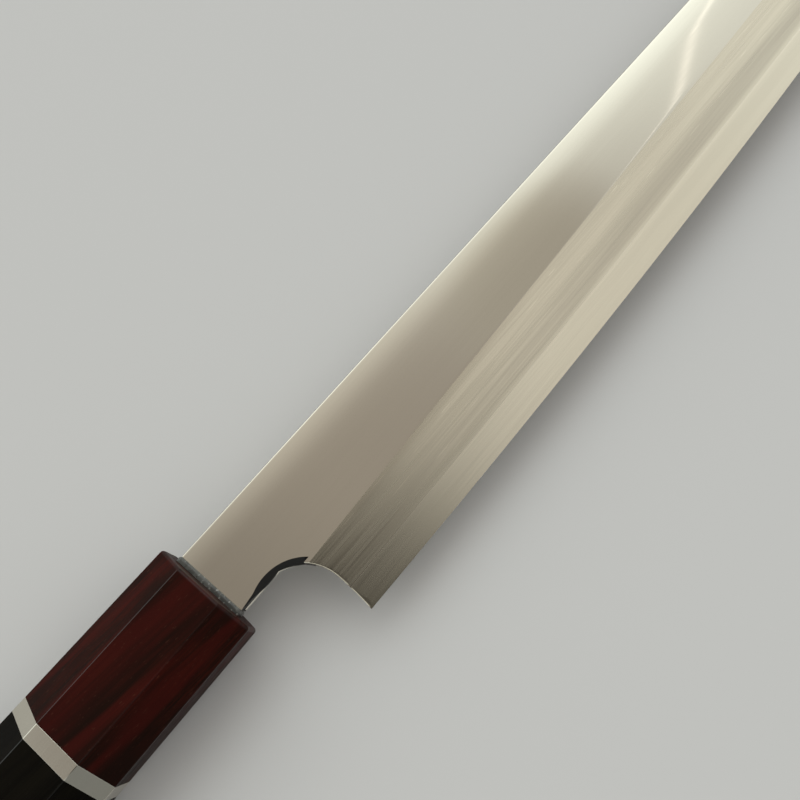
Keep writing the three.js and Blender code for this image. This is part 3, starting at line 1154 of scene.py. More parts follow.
@dataclass(frozen=True)
class BladeForm:
    """The blade's outline and faces as formulas of x and y, all in millimetres."""

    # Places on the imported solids
    shoulder: float
    tip: float
    spine: float
    back: float
    thickness: float
    lowest: float
    steel_start: float
    tang_end: float

    # Outline and thickness
    lowest_from_shoulder: float = 37.0
    height_at_tip_curve: float = 26.5
    tip_curve: float = 36.0
    tip_reach: float = 46.0
    point_height: float = 0.5
    tip_thickness: float = 1.6
    point_thickness: float = 0.4

    # Flat and ridge
    flat_at_heel: float = 19.8
    flat_at_tip_curve: float = 10.9
    flat_fall: float = 0.3
    ridge_end_from_tip: float = 15.0
    ridge_land: float = 0.1
    ease: float = 0.32

    # Heel, notch and scoop
    heel_from_shoulder: float = 16.3
    heel_bow: float = 0.5
    neck_height: float = 16.0
    notch_radius: float = 10.5
    notch_drop: float = 9.85
    scoop_front_gain: float = 0.5
    scoop_back_loss: float = 0.7
    scoop_ahead: float = 1.1
    scoop_above_ridge: float = 0.75

    # Hard steel and its hollow back
    steel_at_shoulder: float = 1.5
    steel_at_tip: float = 0.45
    weld_gap: float = 0.004
    hollow_depth: float = 0.35
    hollow_edge_rim: float = 1.6
    hollow_spine_rim: float = 2.4
    hollow_from_heel: float = 3.0
    hollow_run_in: float = 16.0
    hollow_end_from_tip: float = 12.0

    # Polish and wear
    crown: float = 0.085
    crown_width: float = 6.0
    ridge_wear: float = 0.040
    ridge_wear_far: float = 0.016
    ridge_wear_width: float = 1.4
    ridge_wear_fades: Span = (65.0, 115.0)
    ridge_wear_starts: float = 30.0
    wall_ease: float = 0.22
    wall_ease_most: float = 0.4
    neck_wear: float = 0.55
    neck_wear_run: float = 4.5
    neck_wear_steep: float = 2.5
    zones_at_heel: float = 0.30
    zones_grow: Span = (30.0, 150.0)

    @classmethod
    def from_nodes(cls, place: KnifeFrame) -> "BladeForm":
        """Takes the blade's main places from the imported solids.

        Args:
            place: the knife's frame.

        Returns:
            The form.
        """
        low, high = place.node_box("blade_cladding")
        steel_low, _ = place.node_box("edge_steel")
        shoulder = place.node_box("tang_seal")[1][0]
        return cls(
            shoulder=shoulder,
            tip=high[0],
            spine=high[1],
            back=low[2],
            thickness=high[2] - low[2],
            lowest=steel_low[1],
            steel_start=steel_low[0],
            tang_end=low[0],
        )

    @property
    def heel(self) -> float:
        """Gives the x of the heel's point."""
        return self.shoulder + self.heel_from_shoulder

    @property
    def tip_curve_start(self) -> float:
        """Gives the x where the edge begins to sweep up to the tip."""
        return self.tip - self.tip_curve

    @property
    def ridge_end(self) -> float:
        """Gives the x where the ridge runs out into the spine."""
        return self.tip - self.ridge_end_from_tip

    @property
    def underside(self) -> float:
        """Gives the y of the neck's lower side."""
        return self.spine - self.neck_height

    @property
    def notch(self) -> tuple[float, float]:
        """Gives the centre of the notch's arc."""
        return self.heel + self.heel_bow - self.notch_radius, self.underside - self.notch_drop

    @property
    def scoop_step(self) -> float:
        """Gives the y where the scoop stops above the ridge."""
        return self.spine - self.flat_at_heel + self.scoop_above_ridge

    def belt_height(self, x: np.ndarray) -> np.ndarray:
        """Gives spine to edge without the tip: a parabola, deepest a little ahead of the heel.

        Args:
            x: stations.

        Returns:
            The height at each station.
        """
        deepest = self.shoulder + self.lowest_from_shoulder
        along = (x - deepest) / (self.tip_curve_start - deepest)
        full = self.spine - self.lowest
        return full - (full - self.height_at_tip_curve) * along**2

    def height(self, x: np.ndarray) -> np.ndarray:
        """Gives spine to edge: the belt, less the fall of an ellipse along the tip's curve.

        Args:
            x: stations.

        Returns:
            The height at each station.
        """
        run = np.clip(x - self.tip_curve_start, 0.0, self.tip_curve)
        fall = 1.0 - np.sqrt(1.0 - (run / self.tip_reach) ** 2)
        whole = 1.0 - math.sqrt(1.0 - (self.tip_curve / self.tip_reach) ** 2)
        return self.belt_height(x) - (self.belt_height(self.tip) - self.point_height) * fall / whole

    def flat_width(self, x: np.ndarray) -> np.ndarray:
        """Gives spine to ridge: a straight taper that sweeps up into the spine near the tip.

        The sweep is 1 - s², where s is the share of the way along it.

        Args:
            x: stations.

        Returns:
            The width of the flat at each station.
        """
        along = (x - self.heel) / (self.tip_curve_start - self.heel)
        straight = self.flat_at_heel + (self.flat_at_tip_curve - self.flat_at_heel) * along
        sweep = (x - self.tip_curve_start) / (self.ridge_end - self.tip_curve_start)
        return np.maximum(self.ridge_land, straight * (1.0 - np.clip(sweep, 0.0, 1.0) ** 2))

    def edge_y(self, x: np.ndarray) -> np.ndarray:
        """Gives the y of the edge."""
        return self.spine - self.height(x)

    def ridge_y(self, x: np.ndarray) -> np.ndarray:
        """Gives the y of the ridge between flat and bevel."""
        return self.spine - self.flat_width(x)

    def spine_taper(self, x: np.ndarray) -> np.ndarray:
        """Gives the spine's thickness as one straight taper."""
        along = (x - self.shoulder) / (self.tip - self.shoulder)
        return self.thickness + (self.tip_thickness - self.thickness) * along

    def thinning(self, x: np.ndarray) -> np.ndarray:
        """Gives the share of thickness left where the bevel cuts the spine down to the point.

        Past the ridge's end it falls to the point's share evenly with the blade's height.

        Args:
            x: stations.

        Returns:
            The share, which is 1 as far as the ridge goes.
        """
        whole = self.height(self.ridge_end) - self.point_height
        left = np.clip((self.height(x) - self.point_height) / whole, 0.0, 1.0)
        point = self.point_thickness / self.spine_taper(self.ridge_end)
        return np.where(x > self.ridge_end, point + (1.0 - point) * left, 1.0)

    def spine_thickness(self, x: np.ndarray) -> np.ndarray:
        """Gives the thickness at the spine: the taper as far as the ridge goes, times the thinning."""
        return self.spine_taper(np.minimum(x, self.ridge_end)) * self.thinning(x)

    @property
    def flat_slope(self) -> float:
        """Gives how much thinner the flat gets for each millimetre away from the spine."""
        return self.flat_fall / (self.flat_at_heel - self.ease)

    def ridge_thickness(self, x: np.ndarray) -> np.ndarray:
        """Gives the thickness at the ridge: the height of the flat there above the back."""
        return self.flat_z(x, self.ridge_y(x)) - self.back

    def layer(self, x: np.ndarray) -> np.ndarray:
        """Gives the thickness of the hard steel on the back: a straight taper times the thinning.

        Args:
            x: stations.

        Returns:
            The thickness at each station.
        """
        along = (np.minimum(x, self.ridge_end) - self.shoulder) / (self.tip - self.shoulder)
        plain = self.steel_at_shoulder + (self.steel_at_tip - self.steel_at_shoulder) * along
        return plain * self.thinning(x)

    def flat_z(self, x: np.ndarray, y: np.ndarray) -> np.ndarray:
        """Gives the height of the flat: a plane, crowned by the polish and worn at the ridge.

        The crown falls with the square of the way into a band along the spine, and the ridge's
        wear with the fourth power of the way into a narrow band on each side of it.

        Args:
            x: stations.
            y: heights across the blade.

        Returns:
            The z of the flat.
        """
        width = self.flat_width(x)
        run = np.maximum(0.0, self.spine - self.ease - y)
        plane = self.back + self.spine_thickness(x) - self.flat_slope * run
        upper = np.clip(1.0 - (self.spine - y) / self.crown_width, 0.0, 1.0)
        lower = np.clip(1.0 - (y - self.spine + width) / self.ridge_wear_width, 0.0, 1.0)
        return plane - self.crown * self.open_share(x) * upper**2 - self.wear(x) * lower**4

    def open_share(self, x: np.ndarray) -> np.ndarray:
        """Gives 1 where the flat is wide, and falls to 0 where it runs out at the tip."""
        return smooth_share(self.flat_width(x), 0.0, 2 * self.crown_width)

    def wear(self, x: np.ndarray) -> np.ndarray:
        """Gives how much of the ridge is rubbed away: more by the heel, none at notch and tip.

        Args:
            x: stations.

        Returns:
            The depth of the wear.
        """
        begun = smooth_share(x, self.heel, self.ridge_wear_starts)
        fall = (self.ridge_wear - self.ridge_wear_far) * smooth_share(x, *self.ridge_wear_fades)
        return self.open_share(x) * begun * (self.ridge_wear - fall)

    def bevel_z(self, x: np.ndarray, y: np.ndarray) -> np.ndarray:
        """Gives the height of the bevel, straight from the edge on the back to the worn ridge.

        Args:
            x: stations.
            y: heights across the blade.

        Returns:
            The z of the bevel.
        """
        edge = self.edge_y(x)
        ridge = self.ridge_y(x)
        upper = np.clip(1.0 - (ridge - y) / self.ridge_wear_width, 0.0, 1.0)
        plane = self.back + self.sharp_thickness(x) * (y - edge) / (ridge - edge)
        return plane - self.wear(x) * upper**4

    def sharp_thickness(self, x: np.ndarray) -> np.ndarray:
        """Gives the thickness that the ridge would have without its wear."""
        return self.ridge_thickness(x) + self.wear(x)

    def lamination_y(self, x: np.ndarray, gap: float) -> np.ndarray:
        """Gives the y where the bevel meets the forge weld, or a line a gap above it.

        Its share of the way from edge to ridge is the steel's share of the ridge's thickness.

        Args:
            x: stations.
            gap: height of the line above the weld.

        Returns:
            The y at each station.
        """
        edge = self.edge_y(x)
        share = (self.layer(x) + gap) / self.sharp_thickness(x)
        return edge + (self.ridge_y(x) - edge) * share

    def zone_strength(self, x: np.ndarray) -> np.ndarray:
        """Gives how far the bevel's zones show: a smooth step from a little by the heel to in full."""
        return self.zones_at_heel + (1.0 - self.zones_at_heel) * smooth_share(x, *self.zones_grow)

    def hollow_at(self, x: np.ndarray) -> np.ndarray:
        """Gives the depth of the hollow back, with a smooth step in by the heel and out by the tip.

        Args:
            x: stations.

        Returns:
            The depth at each station.
        """
        start = self.heel + self.hollow_from_heel
        rise = smooth_share(x, start, start + self.hollow_run_in)
        fall = smooth_share(x, self.tip_curve_start, self.tip - self.hollow_end_from_tip)
        return self.hollow_depth * rise * (1.0 - fall)

    def wall_y(self, x: np.ndarray) -> np.ndarray:
        """Gives the notch's upper wall: the neck's underside, then an arc about the notch.

        Args:
            x: stations.

        Returns:
            The y of the wall.
        """
        centre_x, centre_y = self.notch
        start = centre_x + math.sqrt(self.notch_radius**2 - self.notch_drop**2)
        arc = np.sqrt(np.maximum(0.0, self.notch_radius**2 - (x - centre_x) ** 2))
        return np.where(x < start, self.underside, centre_y + arc)

    def rail_x(self, y: np.ndarray) -> np.ndarray:
        """Gives the notch's front wall: the arc, then a shallow parabola down to the heel.

        Args:
            y: heights across the blade.

        Returns:
            The x of the wall.
        """
        centre_x, centre_y = self.notch
        arc = np.sqrt(np.maximum(0.0, self.notch_radius**2 - (y - centre_y) ** 2))
        below = (y - centre_y) / (self.edge_y(self.heel) - centre_y)
        bow = self.notch_radius - self.heel_bow * below**2
        return centre_x + np.where(y > centre_y, arc, bow)

    def wall_gap(self, x: np.ndarray, y: np.ndarray) -> np.ndarray:
        """Gives the distance from the notch's wall, from its arc or from the parabola below it.

        Args:
            x: places on the blade.
            y: heights across the blade.

        Returns:
            The distance into the blade.
        """
        centre_x, centre_y = self.notch
        arc = np.hypot(x - centre_x, y - centre_y) - self.notch_radius
        return np.where(y > centre_y, arc, x - self.rail_x(y))

    def eased(self, x: np.ndarray, y: np.ndarray, z: np.ndarray, floor: np.ndarray) -> np.ndarray:
        """Rounds off the front corner of the notch's wall.

        The face drops by the ease less the height of a quarter circle, and by no more than a
        share of its height above the floor.

        Args:
            x: places on the face.
            y: heights across the blade.
            z: heights of the sharp-cornered face.
            floor: z of what lies under the face.

        Returns:
            The z of the rounded face.
        """
        inside = np.clip(1.0 - self.wall_gap(x, y) / self.wall_ease, 0.0, 1.0)
        drop = self.wall_ease * (1.0 - np.sqrt(1.0 - inside**2))
        return z - np.minimum(drop, np.maximum(0.0, z - floor) * self.wall_ease_most)

    def scoop_radius(self, z: np.ndarray) -> np.ndarray:
        """Gives the scoop's radius: a cone that is wider at the front face than at the back.

        Args:
            z: heights above the handle's axis.

        Returns:
            The radius at each height.
        """
        narrow = self.notch_radius - self.scoop_back_loss
        gain = self.scoop_front_gain + self.scoop_back_loss
        return narrow + gain * (z - self.back) / self.thickness

    def scoop_y(self, x: np.ndarray, z: np.ndarray) -> np.ndarray:
        """Gives the y of the scoop's cone at a height, where its section is a circle.

        Args:
            x: stations.
            z: heights above the handle's axis.

        Returns:
            The y at each station.
        """
        centre_x, centre_y = self.notch
        across = x - centre_x - self.scoop_ahead
        return centre_y + np.sqrt(np.maximum(0.0, self.scoop_radius(z) ** 2 - across**2))

    def scoop_z(self, x: np.ndarray, y: np.ndarray) -> np.ndarray:
        """Gives the scoop's height, held between the back and the flat with its worn corner.

        The cone rises evenly with the distance from its axis, and the worn corner falls away
        from the flat evenly with the way below the neck's corner line.

        Args:
            x: places on the blade.
            y: heights across the blade.

        Returns:
            The z of the scoop.
        """
        centre_x, centre_y = self.notch
        radius = np.hypot(x - centre_x - self.scoop_ahead, y - centre_y)
        gain = self.scoop_front_gain + self.scoop_back_loss
        rise = (radius - self.notch_radius + self.scoop_back_loss) / gain
        worn = self.neck_wear_steep * np.maximum(0.0, self.neck_corner(x) - y)
        return np.clip(self.back + self.thickness * rise, self.back, self.flat_z(x, y) - worn)

    def neck_corner(self, x: np.ndarray) -> np.ndarray:
        """Gives the y up to which the neck's lower corner is worn: more and more, then less again.

        The wear above the wall grows evenly along one short run and fades evenly along another.

        Args:
            x: stations.

        Returns:
            The y at each station.
        """
        begun = np.clip((x - self.shoulder) / self.neck_wear_run, 0.0, 1.0)
        left = np.clip((self.notch[0] - x) / self.neck_wear_run + 1.0, 0.0, 1.0)
        return self.wall_y(x) + self.neck_wear * begun * left

    def scoop_front(self, x: np.ndarray) -> np.ndarray:
        """Gives the y of the scoop's edge on the flat, settled in a few rounds.

        Each round reads the cone at the height that the flat has at the last round's y.

        Args:
            x: stations.

        Returns:
            The y at each station.
        """
        y = self.scoop_y(x, self.back + self.thickness)
        for _ in range(SETTLE_ROUNDS):
            y = self.scoop_y(x, self.flat_z(x, y))
        return y


def smooth_share(x: np.ndarray, start: float, end: float) -> np.ndarray:
    """Gives a smooth step: 0 before start, 1 after end and 3s² - 2s³ of the share s between."""
    share = np.clip((x - start) / (end - start), 0.0, 1.0)
    return share * share * (3.0 - 2.0 * share)


def between(first: np.ndarray, last: np.ndarray, count: int) -> np.ndarray:
    """Gives points on straight lines from first, which is left out, to last.

    Args:
        first: columns by coordinates.
        last: columns by coordinates.
        count: number of rows to make.

    Returns:
        An array of columns by rows by coordinates.
    """
    return along(first, last, (np.arange(count) + 1.0)[None, :] / count)


def along(first: np.ndarray, last: np.ndarray, shares: np.ndarray) -> np.ndarray:
    """Gives points on straight lines from first to last at shares of the way."""
    return first[:, None, :] + (last - first)[:, None, :] * shares[..., None]


def corner_shares(first: np.ndarray, last: np.ndarray, count: int) -> np.ndarray:
    """Spaces rows evenly, then close together over a corner's ease before the last point.

    Args:
        first: columns by coordinates.
        last: columns by coordinates.
        count: number of even rows.

    Returns:
        An array of columns by rows of shares of the way.
    """
    length = np.linalg.norm(last - first, axis=-1)
    knee = 1.0 - np.minimum(CORNER_REACH / np.maximum(length, CORNER_REACH), CORNER_MOST)
    even = knee[:, None] * (np.arange(count) + 1.0) / count
    close = knee[:, None] + (1.0 - knee)[:, None] * np.array(CORNER_STEPS)
    return np.concatenate([even, close], axis=1)


def trailing(t: np.ndarray, start: float, lag: float, ease: float) -> np.ndarray:
    """Gives the x of columns that lag behind up to start and then catch up exponentially."""
    return t - lag * np.exp(-np.maximum(0.0, t - start) / ease)


@dataclass
class BladePiece:
    """Common to the blade's two pieces: a surface of loops, one for each column along the blade.

    The columns fan out from the notch's wall up to fan_end, stand close together up to close_end
    and end with closer ones along the tip's curve.
    """

    place: KnifeFrame
    form: BladeForm
    fan_end: float = 24.0
    fan_ease: float = 25.0
    close_end: float = 60.0
    far_columns: int = 70
    tip_columns: int = 61

    def far_stations(self) -> np.ndarray:
        """Lists the columns from close_end to the tip.

        Returns:
            Their x, even at first and then by the sine of even angles along the tip's curve.
        """
        form = self.form
        sweep = np.sin(np.linspace(0.0, math.pi / 2, self.tip_columns))
        return np.concatenate([
            np.linspace(self.close_end, form.tip_curve_start, self.far_columns),
            form.tip_curve_start + form.tip_curve * sweep,
        ])

    def piece(
        self, node: str, slot: str, shell: np.ndarray, groups: np.ndarray,
        materials: list[bpy.types.Material], attributes: dict[str, np.ndarray],
    ) -> bpy.types.Object:
        """Joins loops into a closed piece whose first and last loops are points.

        Args:
            node: the CAD node that it stands for.
            slot: the record's material slot, which is not used.
            shell: loops by points by x, y and z.
            groups: the finish of each face.
            materials: the finishes.
            attributes: values at the points for the finishes.

        Returns:
            The piece.
        """
        return PieceMesh(
            name=f"{node}_shown",
            node=node,
            slot=slot,
            points=self.place.place(shell.reshape(-1, 3)),
            faces=grid_faces(len(shell), shell.shape[1], False, True),
            groups=groups,
            materials=materials,
            sharp_angle=0.0,
            attributes={**attributes, ZONE_SHARE: self.form.zone_strength(shell[..., 0])},
        ).build()


class CladdingFace(IntEnum):
    """Faces of the cladding, each with its own finish."""

    FLAT = 0
    # The scoop's finish is a painted dark reflection.
    SCOOP = 1
    WALL = 2
    BEVEL = 3
    BACK = 4


class Stretch(IntEnum):
    """Stretches of the cladding from the shoulder to the tip."""

    NECK = 0
    NUB = 1
    HEEL_NECK = 2
    HEEL_STEEL = 3
    RUN = 4


@dataclass
class BladeCladding(BladePiece):
    """The soft steel body of the blade with its neck, scoop and tang."""

    # Columns of the stretches
    neck_columns: int = 26
    bend_columns: int = 24
    nub_columns: int = 6
    ridge_columns: int = 8
    step_columns: int = 8
    heel_columns: int = 26
    near_columns: int = 37
    nub_lead: float = 0.2
    back_even: float = 40.0

    # Tang
    tang_height: float = 8.5
    tang_end_height: float = 5.0
    tang_face_step: float = 0.4
    tang_end_thickness: float = 2.2

    # Rows of a loop
    round_rows: int = 6
    support: float = 0.15
    support_most: float = 0.25
    flat_rows: int = 22
    scoop_rows: int = 6
    step_gap: float = 0.01
    step_most: float = 0.25
    ledge_rows: int = 8
    bevel_rows: int = 12
    back_rim: float = 0.3
    back_rim_most: float = 1.0 / 3.0
    back_lip: float = 0.2
    back_rows: int = 4

    # Places where lines meet the notch, found when the piece is made
    nub_start: float = field(init=False)
    nub_end: float = field(init=False)
    ridge_start: float = field(init=False)
    weld_start: float = field(init=False)
    step_x: float = field(init=False)
    step_start: float = field(init=False)

    def __post_init__(self) -> None:
        """Finds where the ridge, scoop, weld and steel step meet the notch, by a few rounds."""
        form = self.form
        centre_x, centre_y = form.notch
        cone_x = centre_x + form.scoop_ahead
        drop = form.scoop_step - centre_y
        back_radius = form.notch_radius - form.scoop_back_loss
        self.nub_start = cone_x + math.sqrt(back_radius**2 - drop**2)
        self.ridge_start = form.heel
        self.nub_end = form.heel
        self.weld_start = form.lowest
        for _ in range(SETTLE_ROUNDS):
            self.ridge_start = float(form.rail_x(form.ridge_y(self.ridge_start)))
            rim = float(form.flat_z(self.nub_end, form.scoop_step))
            self.nub_end = cone_x + math.sqrt(form.scoop_radius(rim) ** 2 - drop**2)
            weld_x = form.rail_x(self.weld_start)
            self.weld_start = float(form.lamination_y(weld_x, form.weld_gap))
        self.step_x = form.steel_start - form.weld_gap
        step_y = centre_y + math.sqrt(form.notch_radius**2 - (self.step_x - centre_x) ** 2)
        ridge_y = float(form.ridge_y(self.ridge_start))
        share = (step_y - ridge_y) / (self.weld_start - ridge_y)
        self.step_start = self.ridge_start + (self.fan_end - self.ridge_start) * share

    def stations(self) -> tuple[np.ndarray, np.ndarray]:
        """Lists the columns: close together round the notch and along the tip's curve.

        Returns:
            The x of each column on the flat, and the stretch that it belongs to. Columns are
            doubled where two stretches meet.
        """
        form = self.form
        bend = form.notch[0] + math.sqrt(form.notch_radius**2 - form.notch_drop**2)
        runs = {
            Stretch.NECK: [
                np.linspace(form.shoulder, bend, self.neck_columns),
                np.linspace(bend, self.nub_start, self.bend_columns),
            ],
            Stretch.NUB: [
                np.linspace(self.nub_start, self.ridge_start, self.nub_columns),
                np.linspace(self.ridge_start, self.nub_end, self.ridge_columns),
            ],
            Stretch.HEEL_NECK: [np.linspace(self.nub_end, self.step_start, self.step_columns)],
            Stretch.HEEL_STEEL: [np.linspace(self.step_start, self.fan_end, self.heel_columns)],
            Stretch.RUN: [
                np.linspace(self.fan_end, self.close_end, self.near_columns),
                self.far_stations(),
            ],
        }
        parts = {stretch: np.unique(np.concatenate(run)) for stretch, run in runs.items()}
        names = [np.full(len(part), int(stretch)) for stretch, part in parts.items()]
        return np.concatenate(list(parts.values())), np.concatenate(names)

    def scoop_lines(self, t: np.ndarray, stretch: np.ndarray) -> tuple[np.ndarray, ...]:
        """Finds the lines that bound the scoop and the flat below it.

        Args:
            t: columns.
            stretch: the stretch of each column.

        Returns:
            The y of the scoop's front edge, of its bottom and of the flat's lower end.
        """
        form = self.form
        wall = form.wall_y(t)
        ridge = form.ridge_y(t)
        neck_low = np.maximum(wall, form.scoop_y(t, np.full_like(t, form.back)))
        step = np.minimum(form.scoop_above_ridge + self.step_gap, form.flat_width(t) * self.step_most)
        ridge_line = ridge + step
        cases = [stretch == Stretch.NECK, stretch == Stretch.NUB]
        bottom = np.select(cases, [neck_low, np.full_like(t, form.scoop_step)], ridge_line)
        worn = np.where(stretch == Stretch.NECK, form.neck_corner(t), bottom)
        cut = np.maximum(np.maximum(form.scoop_front(t), worn), bottom)
        front = np.where(stretch <= Stretch.NUB, cut, ridge_line)
        low = np.select(cases, [neck_low, np.maximum(wall, ridge)], ridge)
        return front, bottom, low

    def bevel_end(self, t: np.ndarray, stretch: np.ndarray, low: np.ndarray) -> np.ndarray:
        """Finds where each column leaves the bevel: on the notch's wall, then on the weld.

        On the wall the columns go down evenly in y, from the ridge to the weld.

        Args:
            t: columns.
            stretch: the stretch of each column.
            low: y of the flat's lower end.

        Returns:
            The x and y of the bevel's end in each column.
        """
        form = self.form
        ridge_y = float(form.ridge_y(self.ridge_start))
        share = (t - self.ridge_start) / (self.fan_end - self.ridge_start)
        fan_y = ridge_y + (self.weld_start - ridge_y) * np.clip(share, 0.0, 1.0)
        lag = self.fan_end - float(form.rail_x(self.weld_start))
        run_x = trailing(t, self.fan_end, lag, self.fan_ease)
        run_y = form.lamination_y(run_x, form.weld_gap)
        early = t < self.ridge_start
        running = stretch == Stretch.RUN
        x = np.select([early, running], [t, run_x], form.rail_x(fan_y))
        y = np.select([early, running], [low, run_y], fan_y)
        return np.stack([x, y], axis=-1)

    def back_x(self, t: np.ndarray) -> np.ndarray:
        """Gives the x of each column at the spine's back corner, so that one meets the steel step.

        Args:
            t: columns.

        Returns:
            The x, interpolated between known columns.
        """
        form = self.form
        known = [form.shoulder, self.nub_start, self.step_start, self.back_even, form.tip]
        lead = self.nub_start + self.nub_lead
        return np.interp(t, known, [form.shoulder, lead, self.step_x, self.back_even, form.tip])

    def floor_z(self, x: np.ndarray, neck: np.ndarray) -> np.ndarray:
        """Gives the underside: the back on the neck and the weld ahead of it."""
        weld = self.form.back + self.form.layer(x) + self.form.weld_gap
        return np.where(neck, self.form.back, weld)

    def spine_rows(
        self, t: np.ndarray, solid: np.ndarray, ease: np.ndarray
    ) -> tuple[np.ndarray, np.ndarray, np.ndarray]:
        """Makes the rows over the spine: its back corner, the line of the weld and its front corner.

        Both corners are quarter circles. The back one is sharp where the steel lies under it.

        Args:
            t: columns.
            solid: True for the columns with no steel under them.
            ease: radius of the front corner in each column.

        Returns:
            Columns by rows by x, y and z of the three.
        """
        form = self.form
        back_x = self.back_x(t)
        back_ease = np.where(solid, form.ease, 0.0)
        turn = np.linspace(0.0, math.pi / 2, self.round_rows)
        corner_y = form.spine - back_ease[:, None] * (1.0 - np.sin(turn))
        corner_z = self.floor_z(back_x, solid)[:, None] + back_ease[:, None] * (1.0 - np.cos(turn))
        corner = np.stack([np.repeat(back_x[:, None], len(turn), 1), corner_y, corner_z], axis=-1)
        weld_z = form.back + form.layer(back_x) + form.weld_gap
        weld = np.stack([back_x, np.full_like(t, form.spine), weld_z], axis=-1)
        round_y = form.spine - ease[:, None] * (1.0 - np.cos(turn))
        round_z = form.flat_z(t, form.spine - ease)[:, None] - ease[:, None] * (1.0 - np.sin(turn))
        rounded = np.stack([np.repeat(t[:, None], len(turn), 1), round_y, round_z], axis=-1)
        return corner, weld[:, None], rounded

    def loops(self) -> tuple[np.ndarray, np.ndarray, np.ndarray]:
        """Makes each column's closed loop of points round the blade.

        A loop runs over the back corner, up the spine past the weld, round its eased corner, down
        the flat, through the scoop, over the step, down the bevel, in along the wall and back.

        Returns:
            Columns by rows by x, y and z; the face that follows each row of each column; and
            the share of the way down the bevel, for its finish.
        """
        form = self.form
        t, stretch = self.stations()
        solid = stretch <= Stretch.HEEL_NECK
        on_neck = stretch == Stretch.NECK
        front, bottom, low = self.scoop_lines(t, stretch)
        end = self.bevel_end(t, stretch, low)
        under = np.where(solid, 0.0, form.layer(t) + form.weld_gap)
        room = np.minimum(form.flat_width(t), form.spine_thickness(t) - under)
        ease = np.minimum(form.ease, room / 2)
        corner, weld, rounded = self.spine_rows(t, solid, ease)

        def on_face(y: np.ndarray, height: np.ndarray) -> np.ndarray:
            """Puts the columns' x, a y and a height together."""
            return np.stack([t, y, height], axis=-1)

        top_y = form.spine - ease
        inner_y = top_y - np.minimum(self.support, (top_y - front) * self.support_most)
        start = on_face(inner_y, form.flat_z(t, inner_y))
        flat = between(start, on_face(front, form.flat_z(t, front)), self.flat_rows)
        flat[..., 2] = form.flat_z(flat[..., 0], flat[..., 1])
        scoop = between(flat[:, -1], on_face(bottom, form.flat_z(t, bottom)), self.scoop_rows)
        scoop[..., 2] = np.where(
            (stretch <= Stretch.NUB)[:, None],
            form.scoop_z(scoop[..., 0], scoop[..., 1]),
            form.flat_z(scoop[..., 0], scoop[..., 1]),
        )
        step_top = on_face(bottom, np.where(on_neck, scoop[:, -1, 2], form.flat_z(t, bottom)))
        ledge = between(step_top, on_face(low, scoop[:, -1, 2]), self.ledge_rows)
        sharp = form.flat_z(ledge[..., 0], ledge[..., 1])
        worn = form.eased(ledge[..., 0], ledge[..., 1], sharp, form.back)
        ledge[..., 2] = np.where(on_neck[:, None], scoop[:, -1:, 2], worn)
        bevel_foot = np.concatenate([end, ledge[:, -1, 2:]], axis=-1)
        down = corner_shares(ledge[:, -1], bevel_foot, self.bevel_rows)
        bevel = along(ledge[:, -1], bevel_foot, down)
        sharp = form.bevel_z(bevel[..., 0], bevel[..., 1])
        floor = self.floor_z(bevel[..., 0], solid[:, None])
        worn = form.eased(bevel[..., 0], bevel[..., 1], sharp, floor)
        bevel[..., 2] = np.where((t >= self.ridge_start)[:, None], worn, bevel[..., 2])
        foot = np.stack([end[:, 0], end[:, 1], self.floor_z(end[:, 0], solid)], axis=-1)
        wall_height = bevel[:, -1, 2] - foot[:, 2]
        most = self.back_rim_most
        rim_share = np.minimum(most, self.back_rim / np.maximum(self.back_rim, wall_height))
        rim = foot + (bevel[:, -1] - foot) * rim_share[:, None]
        rim[:, 1] += np.where(on_neck, np.minimum(self.back_lip, wall_height * most), 0.0)
        under_rows = between(foot, corner[:, 0], self.back_rows)[:, :-1]
        under_rows[..., 2] = self.floor_z(under_rows[..., 0], solid[:, None])

        strips = [
            (corner, CladdingFace.BACK),
            (weld, CladdingFace.FLAT),
            (rounded, CladdingFace.FLAT),
            (start[:, None], CladdingFace.FLAT),
            (flat, CladdingFace.FLAT),
            (scoop, CladdingFace.SCOOP),
            (step_top[:, None], CladdingFace.WALL),
            (ledge, CladdingFace.FLAT),
            (bevel, CladdingFace.BEVEL),
            (rim[:, None], CladdingFace.WALL),
            (foot[:, None], CladdingFace.WALL),
            (under_rows, CladdingFace.BACK),
        ]
        loops = np.concatenate([rows for rows, _ in strips], axis=1)
        kinds = np.concatenate([np.full(rows.shape[1], int(kind)) for rows, kind in strips])
        after = np.repeat(np.roll(kinds, -1)[None], len(t), 0)
        first = np.argmax(kinds == CladdingFace.BEVEL)
        last = first + down.shape[1]
        # On the neck and nub the wall's face above its rim takes the scoop's painted dark reflection.
        after[stretch <= Stretch.NUB, last - 1] = int(CladdingFace.SCOOP)
        down_bevel = np.zeros(loops.shape[:2])
        down_bevel[:, first:last] = down
        down_bevel[:, last:] = 1.0
        return loops, after, down_bevel

    def tang_loops(self, neck: np.ndarray) -> np.ndarray:
        """Shrinks the neck's first loop to the tang's root and tapers it to the tang's end.

        Args:
            neck: the loop at the shoulder.

        Returns:
            Three loops from the tang's end to its root, the first drawn to a point.
        """
        form = self.form
        middle = np.array([0.0, form.spine - form.neck_height / 2, 0.0])
        shrink = np.array([
            1.0, self.tang_height / form.neck_height, 1.0 - 2 * self.tang_face_step / form.thickness,
        ])
        root = (neck - middle) * shrink
        root_thickness = form.thickness - 2 * self.tang_face_step
        taper = np.array([
            1.0, self.tang_end_height / self.tang_height, self.tang_end_thickness / root_thickness,
        ])
        end = root * taper
        end[:, 0] = form.tang_end
        return np.stack([np.repeat(end.mean(axis=0)[None], len(end), 0), end, root])

